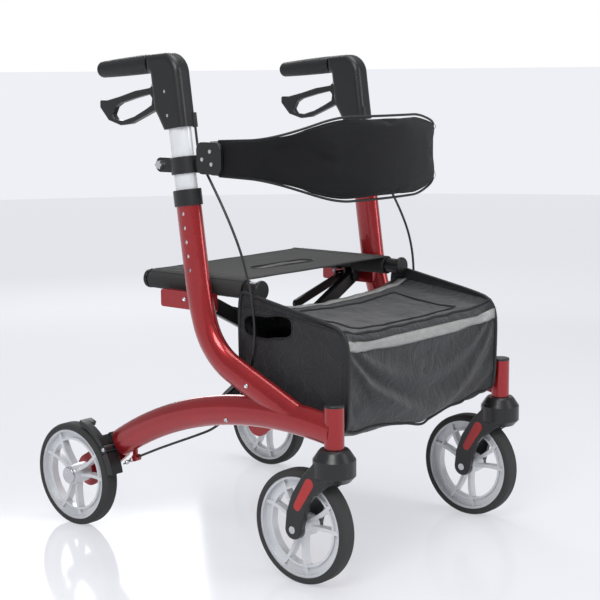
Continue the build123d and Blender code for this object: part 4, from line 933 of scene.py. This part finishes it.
def seat_strap(sizes, top, middle_y):
    """The webbing pull strap that lies in the recess."""
    lengthwise = np.linspace(-0.070, 0.070, 60)
    across = np.linspace(-0.0095, 0.0095, 9)
    grid = np.zeros((len(across), len(lengthwise), 3))
    for i, side in enumerate(across):
        for j, x in enumerate(lengthwise):
            arch = 0.0018 * math.cos(math.pi * x / 0.14) ** 2 + 0.0003 * math.sin(x * 140)
            grid[i, j] = (x, middle_y + side + 0.002 * math.sin(x * 18), top - 0.0043 + arch)
    strap = grid_piece("seat_strap", grid, finishes()["strap_webbing"])
    if strap.data.polygons[0].normal.z < 0:
        strap.data.flip_normals()
    return thicken(strap, 0.0014, offset=1.0)


# ---------------------------------------------------------------- backrest


def band_edges(x, sizes):
    """Heights of the band's lower and upper edge at this distance from the middle."""
    reach = min(1.0, max(0.0, (0.258 - abs(x)) / 0.163))
    rise = 1 - (1 - reach) ** 1.66
    return (
        sizes.end_low + (sizes.low - sizes.end_low) * rise,
        sizes.end_high + (sizes.high - sizes.end_high) * rise,
    )


def backrest_band():
    """The padded band: a closed, crowned form that pulls in at its seams."""
    sizes = bpy.context.scene.rollator_backrest
    corners = [(-0.247, -0.060), (-0.234, -0.222), (0.0, -0.271), (0.234, -0.222), (0.247, -0.060)]
    plan = spread_evenly(rounded_path(corners, [0.099, 0.514, 0.099]), 132)
    heading = np.gradient(plan, axis=0)
    heading /= np.linalg.norm(heading, axis=1, keepdims=True)
    outward = np.stack([heading[:, 1], -heading[:, 0]], axis=1)
    turns = np.linspace(0, 2 * math.pi, 721)[:-1]
    section = np.stack([
        np.sign(np.cos(turns)) * np.abs(np.cos(turns)) ** 0.75,
        np.sign(np.sin(turns)) * np.abs(np.sin(turns)) ** 0.42,
    ], axis=1)
    ring_count = 64
    grid = np.zeros((ring_count, len(plan), 3))
    for j, (place, out) in enumerate(zip(plan, outward)):
        low, high = band_edges(place[0], sizes)
        ends = min(j, len(plan) - 1 - j)
        puff = 0.62 + 0.38 * min(1.0, ends / 9)
        shape = section * (sizes.thickness / 2 * puff, (high - low) / 2)
        ring = spread_evenly(shape, ring_count, closed=True)
        grid[:, j, 0] = place[0] + out[0] * ring[:, 0]
        grid[:, j, 1] = place[1] + out[1] * ring[:, 0]
        grid[:, j, 2] = (low + high) / 2 + ring[:, 1]
    band = grid_piece("backrest_cushion", grid, finishes()["band_cloth"], closed=True)
    cap_ends(band.data)
    face_outwards(band.data)
    columns = len(plan)
    held = [i * columns + j for i in range(ring_count) for j in (*range(10), *range(columns - 10, columns))]
    simulate_cloth(band, 0.005, held, pressure=3.0)
    subdivide(band)
    top_rows = grid[[ring_count // 4 - 2, 3 * ring_count // 4 + 2]]
    lines = [
        row + np.stack([outward[:, 0], outward[:, 1], np.zeros(columns)], axis=1) * 0.0012 for row in top_rows
    ]
    stitches = grow(
        "backrest_stitches", line_mesh([line[12:-12] for line in lines]), "stitching",
        finishes()["thread_black"], Pitch=0.0040, Stitch=0.0027, Thread=0.0005,
    )
    edge_rows = grid[[ring_count // 4, 3 * ring_count // 4]]
    binding = grow(
        "backrest_binding", line_mesh([row[4:-4] for row in edge_rows]), "beading",
        finishes()["piping_black"], Radius=0.0022, Step=0.005,
    )
    for piece in (band, stitches, binding):
        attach(piece, "right_handle")
        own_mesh(piece)
    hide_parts("backrest_band")


def cap_ends(mesh):
    """Close a tube's open ends."""
    work = bmesh.new()
    work.from_mesh(mesh)
    rim = [e for e in work.edges if len(e.link_faces) == 1]
    bmesh.ops.holes_fill(work, edges=rim, sides=0)
    work.to_mesh(mesh)
    work.free()
    mesh.polygons.foreach_set("use_smooth", [True] * len(mesh.polygons))


# ---------------------------------------------------------------- bag

BAG_PROFILE = (
    (-0.107, 0.452), (-0.110, 0.459), (-0.130, 0.4620), (-0.232, 0.4500), (-0.330, 0.4385),
    (-0.344, 0.4300), (-0.3495, 0.4120), (-0.3490, 0.3500), (-0.3465, 0.2820), (-0.3400, 0.2660),
    (-0.3250, 0.2600), (-0.2200, 0.2600), (-0.1250, 0.2600), (-0.1110, 0.2680), (-0.1075, 0.2850),
    (-0.1065, 0.3600),
)
BAG_SIDE = (
    (-0.105, 0.486), (-0.128, 0.481), (-0.205, 0.4665), (-0.318, 0.4450), (-0.340, 0.4350),
    (-0.3510, 0.4100), (-0.3500, 0.3400), (-0.3475, 0.2760), (-0.3380, 0.2600), (-0.2200, 0.2590),
    (-0.1180, 0.2590), (-0.1070, 0.2700), (-0.1055, 0.3700),
)
BAG_RING = 132
BAG_COLUMNS = 84


def bag_fold(x, y, z, slack):
    """How far the cloth stands off its flat panel: drooping pleats, bulges and creases."""
    out = 0.0
    if y < -0.335:
        along = (x + 0.225) / 0.45
        crest = 0.392 - 0.150 * min(1.0, max(0.0, along) * 1.7) ** 0.8
        lower = 0.292 + 0.016 * math.sin(along * 9.0)
        out += 0.90 * slack * math.exp(-(((z - crest) / 0.011) ** 2)) * max(0.0, 1 - along * 1.35)
        out -= 0.70 * slack * math.exp(-(((z - crest - 0.020) / 0.012) ** 2)) * max(0.0, 1 - along * 1.3)
        out += 0.75 * slack * math.exp(-(((z - lower) / 0.020) ** 2)) * math.sin(math.pi * min(1.0, max(0.0, along)))
        out -= 0.45 * slack * math.exp(-(((z - lower - 0.040) / 0.016) ** 2)) * max(0.0, along)
        hang = 0.5 + 0.5 * math.sin(x * 62 + z * 25)
        out += 0.0022 * hang * max(0.0, min(1.0, (0.40 - z) / 0.10))
    return out


def bag_shell_grid(sizes):
    """The bag's body as a loft across X: lid, front, bottom and back in one ring of cloth."""
    profile = np.array(BAG_PROFILE)
    ring = spread_evenly(smooth_loop(profile), BAG_RING, closed=True)
    tangent = np.roll(ring, -1, axis=0) - np.roll(ring, 1, axis=0)
    tangent /= np.linalg.norm(tangent, axis=1, keepdims=True)
    outward = np.stack([-tangent[:, 1], tangent[:, 0]], axis=1)
    if np.dot(outward[BAG_RING // 2], ring[BAG_RING // 2] - ring.mean(axis=0)) < 0:
        outward = -outward
    columns = np.linspace(-sizes.half_width, sizes.half_width, BAG_COLUMNS)
    grid = np.zeros((BAG_RING, BAG_COLUMNS, 3))
    for i, ((y, z), out) in enumerate(zip(ring, outward)):
        for j, x in enumerate(columns):
            share = math.cos(math.pi / 2 * x / sizes.half_width)
            stand = bag_fold(x, y, z, sizes.slack) * min(1.0, share * 3.5)
            crease = 0.0020 * noise.noise((x * 19, y * 23, z * 21)) + 0.0012 * noise.noise((x * 47, y * 40, z * 55))
            stand += crease * min(1.0, share * 4)
            lid = max(0.0, min(1.0, (z - 0.425) / 0.02))
            lid_share = max(0.0, min(1.0, (y + 0.345) / 0.05))
            dip = 0.0135 * share * lid * (0.35 + 0.65 * lid_share)
            pucker = 0.0016 * math.sin(x * 95 + 3 * math.sin(y * 60)) * lid * (1 - lid_share)
            belly = -0.008 * max(share, 0.0) ** 0.6 if z < 0.275 else 0.0
            grid[i, j] = (x, y + out[0] * stand, z + out[1] * stand - dip + pucker + belly)
    return grid


def smooth_loop(points, rounds=3):
    """Cut the corners of a closed line, a few times."""
    for _ in range(rounds):
        ahead = np.roll(points, -1, axis=0)
        points = np.stack([0.75 * points + 0.25 * ahead, 0.25 * points + 0.75 * ahead], axis=1).reshape(-1, 2)
    return points


def surface_normals(grid):
    """Outward unit normals of a closed loft."""
    round_it = np.roll(grid, -1, axis=0) - np.roll(grid, 1, axis=0)
    across = np.gradient(grid, axis=1)
    normal = np.cross(across, round_it)
    normal /= np.maximum(np.linalg.norm(normal, axis=2, keepdims=True), 1e-9)
    centre = grid.reshape(-1, 3).mean(axis=0)
    if ((grid - centre) * normal).sum() < 0:
        normal = -normal
    return normal


def bag_tape(name, grid, normal, rows):
    """A strip of reflective tape sewn on the bag, over these rows of its cloth."""
    strip = grid[rows][:, 1:-1] + normal[rows][:, 1:-1] * 0.0012
    tape = grid_piece(name, strip, finishes()["reflective_tape"])
    middle = (len(rows) // 2, strip.shape[1] // 2)
    face = tape.data.polygons[middle[0] * (strip.shape[1] - 1) // 2]
    if face.normal.dot(Vector(normal[rows[0], BAG_COLUMNS // 2])) < 0:
        tape.data.flip_normals()
    return thicken(tape, 0.0007, offset=1.0)


def bag_side(name, sign, sizes):
    """One side panel with its hand slot, from the slot's edge out to the seam."""
    count = 120
    slot_y, slot_z = -0.171, 0.4255
    outer = spread_evenly(smooth_loop(np.array(BAG_SIDE), 2), 480, closed=True)
    angles = np.linspace(0, 2 * math.pi, count + 1)[:-1]
    bearing = np.arctan2(outer[:, 1] - slot_z, outer[:, 0] - slot_y)
    half_y, half_z = sizes.slot_length / 2, sizes.slot_height / 2
    rings = 22
    grid = np.zeros((count, rings, 3))
    for i, angle in enumerate(angles):
        gap = np.abs((bearing - angle + math.pi) % (2 * math.pi) - math.pi)
        far = outer[np.argmin(gap)]
        c, s = math.cos(angle), math.sin(angle)
        reach = ((abs(c) / half_y) ** 4 + (abs(s) / half_z) ** 4) ** -0.25
        near = np.array([slot_y + reach * c, slot_z + reach * s - 0.006 * c * (c < 0)])
        for k in range(rings):
            share = k / (rings - 1)
            y, z = near + (far - near) * share
            swell = 0.0045 * math.sin(math.pi * share) * (0.4 + 0.6 * (z < 0.42))
            ripple = 0.0010 * noise.noise((y * 26, z * 22, sign * 5.0)) * math.sin(math.pi * share)
            grid[i, k] = (sign * (sizes.half_width - 0.0042 + swell * 0.55 + ripple), y, z)
    panel = grid_piece(f"bag_side_{name}", grid, finishes()["bag_nylon"], closed=True)
    if panel.data.polygons[0].normal.x * sign < 0:
        panel.data.flip_normals()
    thicken(panel, 0.0022)
    edge = grid[:, -1] + (sign * 0.0008, 0.0, 0.0)
    piping = grow(
        f"bag_piping_{name}", line_mesh([spread_evenly(edge, 300, closed=True)], closed=True), "beading",
        finishes()["piping_black"], Radius=sizes.piping, Step=0.005,
    )
    rim = grow(
        f"bag_slot_binding_{name}", line_mesh([spread_evenly(grid[:, 0], 90, closed=True)], closed=True),
        "beading", finishes()["piping_black"], Radius=0.0016, Step=0.004,
    )
    seam = grow(
        f"bag_side_stitches_{name}",
        line_mesh([spread_evenly(grid[:, -3] + (sign * 0.0004, 0, 0), 300, closed=True)], closed=True),
        "stitching", finishes()["thread_black"], Pitch=0.0045, Stitch=0.003, Thread=0.0004,
    )
    return [panel, piping, rim, seam]


def bag():
    """The bag: a lofted shell that sags, two side panels, piping, lid seams and tape."""
    sizes = bpy.context.scene.rollator_bag
    grid = bag_shell_grid(sizes)
    shell = grid_piece("bag_shell", grid, finishes()["bag_nylon"], closed=True)
    held = [i * BAG_COLUMNS + j for i in range(BAG_RING) for j in (0, 1, BAG_COLUMNS - 2, BAG_COLUMNS - 1)]
    simulate_cloth(shell, 0.008, held, gravity=0.5, slack=0.02)
    settled = np.array([v.co for v in shell.data.vertices]).reshape(BAG_RING, BAG_COLUMNS, 3)
    normal = surface_normals(settled)
    probe = shell.data.polygons[0]
    if probe.normal.dot(Vector(normal[0, 0])) < 0:
        shell.data.flip_normals()
    thicken(shell, sizes.wall)
    subdivide(shell)
    rest_y, rest_z = grid[:, 0, 1], grid[:, 0, 2]
    front_rows = [i for i in range(BAG_RING) if rest_y[i] < -0.340 and 0.400 < rest_z[i] < 0.400 + sizes.tape_width]
    back_rows = [i for i in range(BAG_RING) if -0.150 < rest_y[i] < -0.125 and rest_z[i] > 0.44]
    pieces = [
        shell,
        bag_tape("bag_tape_front", settled, normal, front_rows),
        bag_tape("bag_tape_rear", settled, normal, back_rows),
    ]
    lid_rows = [i for i in range(BAG_RING) if -0.312 < rest_y[i] < -0.168 and rest_z[i] > 0.43]
    raised = settled + normal * 0.0008
    left_column, right_column = 15, BAG_COLUMNS - 16
    lid_seam = [
        *raised[lid_rows, left_column],
        *raised[lid_rows[-1], left_column + 1:right_column],
        *raised[lid_rows[::-1], right_column],
        *raised[lid_rows[0], right_column - 1:left_column:-1],
    ]
    pieces.append(grow(
        "bag_lid_piping", line_mesh([lid_seam], closed=True), "beading",
        finishes()["piping_black"], Radius=0.0022, Step=0.005,
    ))
    edge_row = min(range(BAG_RING), key=lambda i: abs(rest_y[i] + 0.333) + abs(rest_z[i] - 0.436))
    base_row = min(range(BAG_RING), key=lambda i: abs(rest_y[i] + 0.340) + abs(rest_z[i] - 0.263))
    pieces.append(grow(
        "bag_front_seams", line_mesh([raised[edge_row], raised[base_row]]), "beading",
        finishes()["piping_black"], Radius=0.0024, Step=0.005,
    ))
    tape_seams = [settled[row] + normal[row] * 0.0022 for row in (front_rows[0], front_rows[-1], back_rows[0], back_rows[-1])]
    pieces.append(grow(
        "bag_tape_stitches", line_mesh(tape_seams), "stitching",
        finishes()["thread_black"], Pitch=0.0045, Stitch=0.003, Thread=0.0004,
    ))
    for name, sign in SIDES:
        pieces += bag_side(name, sign, sizes)
    for piece in pieces:
        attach(piece, "right_frame")
        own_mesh(piece)
    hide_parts("bag")


# ---------------------------------------------------------------- small fittings


def turned_piece(name, profile, start, end, material, sides=24):
    """A solid turned about the line from start to end; the profile is (share along, radius) pairs."""
    start, end = Vector(start), Vector(end)
    along = end - start
    turn = along.to_track_quat("Z", "Y")
    rings = []
    for share, radius in profile:
        ring = []
        for k in range(sides):
            angle = 2 * math.pi * k / sides
            local = Vector((radius * math.cos(angle), radius * math.sin(angle), 0.0))
            ring.append(start + along * share + turn @ local)
        rings.append(ring)
    points = [tuple(p) for ring in rings for p in ring]
    faces = [
        (i * sides + k, i * sides + (k + 1) % sides, (i + 1) * sides + (k + 1) % sides, (i + 1) * sides + k)
        for i in range(len(rings) - 1)
        for k in range(sides)
    ]
    faces.append(tuple(range(sides)))
    faces.append(tuple(range((len(rings) - 1) * sides, len(rings) * sides)))
    mesh = bpy.data.meshes.new(name)
    mesh.from_pydata(points, [], faces)
    mesh.materials.append(material)
    face_outwards(mesh)
    mesh.polygons.foreach_set("use_smooth", [len(p.vertices) == 4 for p in mesh.polygons])
    return show(bpy.data.objects.new(name, mesh))


def bolt_head(height_share):
    """A button head with a hexagonal socket, one unit in radius."""
    sides = 24
    rings = [
        (1.0, 0.0, False), (1.0, 0.22, False), (0.93, 0.62, False), (0.70, 0.92, False), (0.54, 1.0, False),
        (0.46, 1.0, True), (0.44, 0.35, True),
    ]
    points, faces = [], []
    for radius, height, hexed in rings:
        for k in range(sides):
            angle = 2 * math.pi * k / sides
            bend = (angle + math.pi / 6) % (math.pi / 3) - math.pi / 6
            reach = radius / math.cos(bend) * 0.92 if hexed else radius
            points.append((reach * math.cos(angle), reach * math.sin(angle), height * height_share))
    for i in range(len(rings) - 1):
        for k in range(sides):
            after = (k + 1) % sides
            faces.append((i * sides + k, i * sides + after, (i + 1) * sides + after, (i + 1) * sides + k))
    faces.append(tuple(range(len(points) - sides, len(points))))
    faces.append(tuple(reversed(range(sides))))
    mesh = bpy.data.meshes.new("bolt_head")
    mesh.from_pydata(points, [], faces)
    return show(bpy.data.objects.new("bolt_head", mesh))


def bolts(name, body, places, head, sizes):
    """Bolt heads at these places, each with the way that it faces."""
    mesh = bpy.data.meshes.new("bolt_places")
    mesh.from_pydata([place for place, _ in places], [], [])
    facing = mesh.attributes.new("facing", "FLOAT_VECTOR", "POINT")
    for spot, (_, way) in zip(facing.data, places):
        spot.vector = way
    piece = grow(name, mesh, "bolting", finishes()["plated_steel"], Head=head, Radius=sizes.bolt_radius)
    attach(piece, body)
    return piece


def small_fittings():
    """Bolt heads, cable adjusters and the cable's clips on both side frames."""
    sizes = bpy.context.scene.rollator_fittings
    head = bolt_head(sizes.bolt_height / sizes.bolt_radius)
    for name, sign in SIDES:
        frame_places = [
            ((sign * 0.2683, -0.111, 0.262), (sign * 0.895, 0.0, -0.446)),
            ((sign * 0.2709, -0.163, 0.330), (sign, 0.0, 0.0)),
            ((sign * 0.2399, 0.014, 0.461), (sign, 0.0, 0.0)),
            ((sign * 0.2261, 0.044, 0.461), (-sign, 0.0, 0.0)),
            ((sign * 0.2352, -0.163, 0.330), (-sign, 0.0, 0.0)),
        ]
        bolts(f"frame_bolts_{name}", f"{name}_frame", frame_places, head, sizes)
        bolts(
            f"brake_bolt_{name}", f"{name}_frame",
            [((sign * 0.2919, 0.187, 0.1635), (sign, 0.0, 0.0))], head, sizes,
        )
        adjuster = turned_piece(
            f"cable_adjuster_{name}",
            [(0, 0.0028), (0.10, 0.0030), (0.12, 0.0044), (0.30, 0.0046), (0.34, 0.0030), (0.60, 0.0028),
             (0.62, 0.0040), (0.76, 0.0040), (0.80, 0.0016), (1.0, 0.0012)],
            (sign * 0.253, 0.1435, 0.1462), (sign * 0.2605, 0.1665, 0.1330), finishes()["plated_steel"],
        )
        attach(adjuster, f"{name}_frame")
        clip = turned_piece(
            f"cable_clip_{name}",
            [(0, 0.0040), (0.08, 0.0062), (0.5, 0.0066), (0.92, 0.0062), (1.0, 0.0040)],
            (sign * 0.2316, -0.093, 0.270), (sign * 0.2330, -0.080, 0.257), finishes()["moulded_black"],
        )
        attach(clip, f"{name}_frame")
    bpy.data.objects.remove(head)


# ---------------------------------------------------------------- stage


def soft_light(name, place, aim, size, power, tint=(1.0, 1.0, 1.0)):
    lamp = bpy.data.lights.new(name, "AREA")
    lamp.shape = "RECTANGLE"
    lamp.size, lamp.size_y = size
    lamp.energy = power
    lamp.color = tint
    holder = show(bpy.data.objects.new(name, lamp))
    holder.location = place
    holder.rotation_euler = (Vector(aim) - Vector(place)).to_track_quat("-Z", "Y").to_euler()
    return holder


def stage_camera(sizes):
    yaw, pitch, roll = sizes.yaw, sizes.pitch, sizes.roll
    ahead = Vector((math.cos(yaw) * math.cos(pitch), math.sin(yaw) * math.cos(pitch), math.sin(pitch)))
    level = ahead.cross(Vector((0, 0, 1))).normalized()
    upright = level.cross(ahead)
    right = level * math.cos(roll) + upright * math.sin(roll)
    up = -level * math.sin(roll) + upright * math.cos(roll)
    data = bpy.data.cameras.new("camera")
    data.lens = sizes.lens
    data.sensor_width = 36.0
    data.clip_end = 100.0
    camera = show(bpy.data.objects.new("camera", data))
    turn = Matrix((right, up, -ahead)).transposed()
    camera.matrix_world = Matrix.Translation(Vector(sizes.camera_place)) @ turn.to_4x4()
    bpy.context.scene.camera = camera


def backdrop_material(name, tint, shadow_share, roughness, specular):
    """Plain pale surface that shows its own colour, keeps some shadow and reflects softly."""
    material, tree, shader = blank_material(name)
    shader.inputs["Base Color"].default_value = (*tint, 1.0)
    shader.inputs["Roughness"].default_value = roughness
    shader.inputs["Specular IOR Level"].default_value = specular
    glow = node(tree, "ShaderNodeEmission", {"Color": (*tint, 1.0), "Strength": 1.0})
    ray = node(tree, "ShaderNodeLightPath")
    seen = maths(tree, "MAXIMUM", ray.outputs["Is Camera Ray"], ray.outputs["Is Glossy Ray"])
    seen = maths(tree, "MAXIMUM", seen, ray.outputs["Is Transmission Ray"])
    share = maths(tree, "MULTIPLY", seen, 1.0 - shadow_share)
    mixed = node(tree, "ShaderNodeMixShader", {0: share, 1: shader.outputs[0], 2: glow.outputs[0]})
    output = tree.nodes["Material Output"]
    tree.links.new(mixed.outputs[0], output.inputs["Surface"])
    return material


def plain_mesh(name, points, faces, material):
    mesh = bpy.data.meshes.new(name)
    mesh.from_pydata(points, [], faces)
    mesh.materials.append(material)
    return show(bpy.data.objects.new(name, mesh))


def stage():
    """Camera, lamps, world, the pale floor and the low round backdrop."""
    sizes = bpy.context.scene.rollator_stage
    stage_camera(sizes)
    radius, height, sides = sizes.backdrop_radius, sizes.backdrop_height, 96
    ring = [
        (radius * math.cos(2 * math.pi * k / sides), radius * math.sin(2 * math.pi * k / sides))
        for k in range(sides)
    ]
    floor = plain_mesh(
        "floor", [(x, y, -0.0005) for x, y in ring], [tuple(range(sides))],
        backdrop_material("floor_pale", sizes.floor, 0.42, 0.10, 0.5),
    )
    wall_points = [(x, y, -0.0005) for x, y in ring] + [(x, y, height) for x, y in ring]
    wall_faces = [(k, sides + k, sides + (k + 1) % sides, (k + 1) % sides) for k in range(sides)]
    wall = plain_mesh(
        "backdrop", wall_points, wall_faces, backdrop_material("backdrop_pale", sizes.floor, 0.0, 0.9, 0.0)
    )
    world = bpy.data.worlds.new("studio")
    bpy.context.scene.world = world
    world.use_nodes = True
    tree = world.node_tree
    ambient = tree.nodes["Background"]
    ambient.inputs["Color"].default_value = (0.93, 0.96, 1.0, 1.0)
    ambient.inputs["Strength"].default_value = 0.42
    white = node(tree, "ShaderNodeBackground", {"Color": (1, 1, 1, 1), "Strength": 1.0})
    ray = node(tree, "ShaderNodeLightPath")
    mixed = node(
        tree, "ShaderNodeMixShader",
        {0: ray.outputs["Is Camera Ray"], 1: ambient.outputs[0], 2: white.outputs[0]},
    )
    tree.links.new(mixed.outputs[0], tree.nodes["World Output"].inputs["Surface"])
    middle = (0.0, 0.0, 0.45)
    soft_light("key_light", (-2.4, -1.2, 2.6), middle, (1.4, 1.4), 55.0)
    soft_light("top_light", (0.3, -0.2, 3.2), middle, (2.2, 1.6), 42.0)
    soft_light("front_light", (0.9, -3.0, 1.5), middle, (0.9, 1.8), 24.0)
    soft_light("rim_light", (1.6, 2.4, 1.8), middle, (1.0, 1.8), 26.0)
    bpy.context.scene.view_settings.view_transform = "Standard"


# ---------------------------------------------------------------- operators


class ROLLATOR_OT_stage(bpy.types.Operator):
    """Set the camera, the lamps, the floor and the backdrop"""

    bl_idname = "rollator.stage"
    bl_label = "Stage"

    def execute(self, context):
        stage()
        return {"FINISHED"}


class ROLLATOR_OT_cables(bpy.types.Operator):
    """Lay both brake cables from the handles to the brakes"""

    bl_idname = "rollator.cables"
    bl_label = "Brake cables"

    def execute(self, context):
        for name, sign in SIDES:
            brake_cable(name, sign)
        return {"FINISHED"}


class ROLLATOR_OT_finishes(bpy.types.Operator):
    """Give every hard piece of the frame its finish"""

    bl_idname = "rollator.finishes"
    bl_label = "Hard finishes"

    def execute(self, context):
        made = finishes()
        for label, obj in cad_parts.items():
            family = label.removesuffix("_right").removesuffix("_left")
            obj.data.materials.clear()
            obj.data.materials.append(made[NODE_FINISH[family]])
        return {"FINISHED"}


class ROLLATOR_OT_seat(bpy.types.Operator):
    """Sew the seat: two sleeves, the panel and its pull strap"""

    bl_idname = "rollator.seat"
    bl_label = "Seat"

    def execute(self, context):
        for name, sign in SIDES:
            seat_sleeve(name, sign)
        seat_panel()
        return {"FINISHED"}


class ROLLATOR_OT_backrest(bpy.types.Operator):
    """Pad the backrest band"""

    bl_idname = "rollator.backrest"
    bl_label = "Backrest band"

    def execute(self, context):
        backrest_band()
        return {"FINISHED"}


class ROLLATOR_OT_bag(bpy.types.Operator):
    """Sew the bag under the seat"""

    bl_idname = "rollator.bag"
    bl_label = "Bag"

    def execute(self, context):
        bag()
        return {"FINISHED"}


class ROLLATOR_OT_fittings(bpy.types.Operator):
    """Set the bolt heads, cable adjusters and clips"""

    bl_idname = "rollator.fittings"
    bl_label = "Small fittings"

    def execute(self, context):
        small_fittings()
        return {"FINISHED"}


OPERATORS = (
    ROLLATOR_OT_stage, ROLLATOR_OT_cables, ROLLATOR_OT_finishes, ROLLATOR_OT_seat,
    ROLLATOR_OT_backrest, ROLLATOR_OT_bag, ROLLATOR_OT_fittings,
)


class VIEW3D_PT_rollator(bpy.types.Panel):
    """Sizes, colours and pieces of the rollator walker"""

    bl_label = "Rollator walker"
    bl_idname = "VIEW3D_PT_rollator"
    bl_space_type = "VIEW_3D"
    bl_region_type = "UI"
    bl_category = "Rollator"

    def draw(self, context):
        for label, group in GROUPS.items():
            box = self.layout.box()
            for prop in group.__annotations__:
                box.prop(getattr(context.scene, label), prop)
        for operator in OPERATORS:
            self.layout.operator(operator.bl_idname)


def register():
    for group in GROUPS.values():
        bpy.utils.register_class(group)
    for operator in OPERATORS:
        bpy.utils.register_class(operator)
    bpy.utils.register_class(VIEW3D_PT_rollator)
    for label, group in GROUPS.items():
        setattr(bpy.types.Scene, label, bpy.props.PointerProperty(type=group))


def unregister():
    for label in GROUPS:
        delattr(bpy.types.Scene, label)
    for made in (VIEW3D_PT_rollator, *reversed(OPERATORS), *GROUPS.values()):
        bpy.utils.unregister_class(made)


def main():
    register()
    bpy.ops.rollator.stage()
    bpy.ops.rollator.cables()
    bpy.ops.rollator.finishes()
    bpy.ops.rollator.seat()
    bpy.ops.rollator.backrest()
    bpy.ops.rollator.bag()
    bpy.ops.rollator.fittings()


if __name__ == "__main__":
    main()
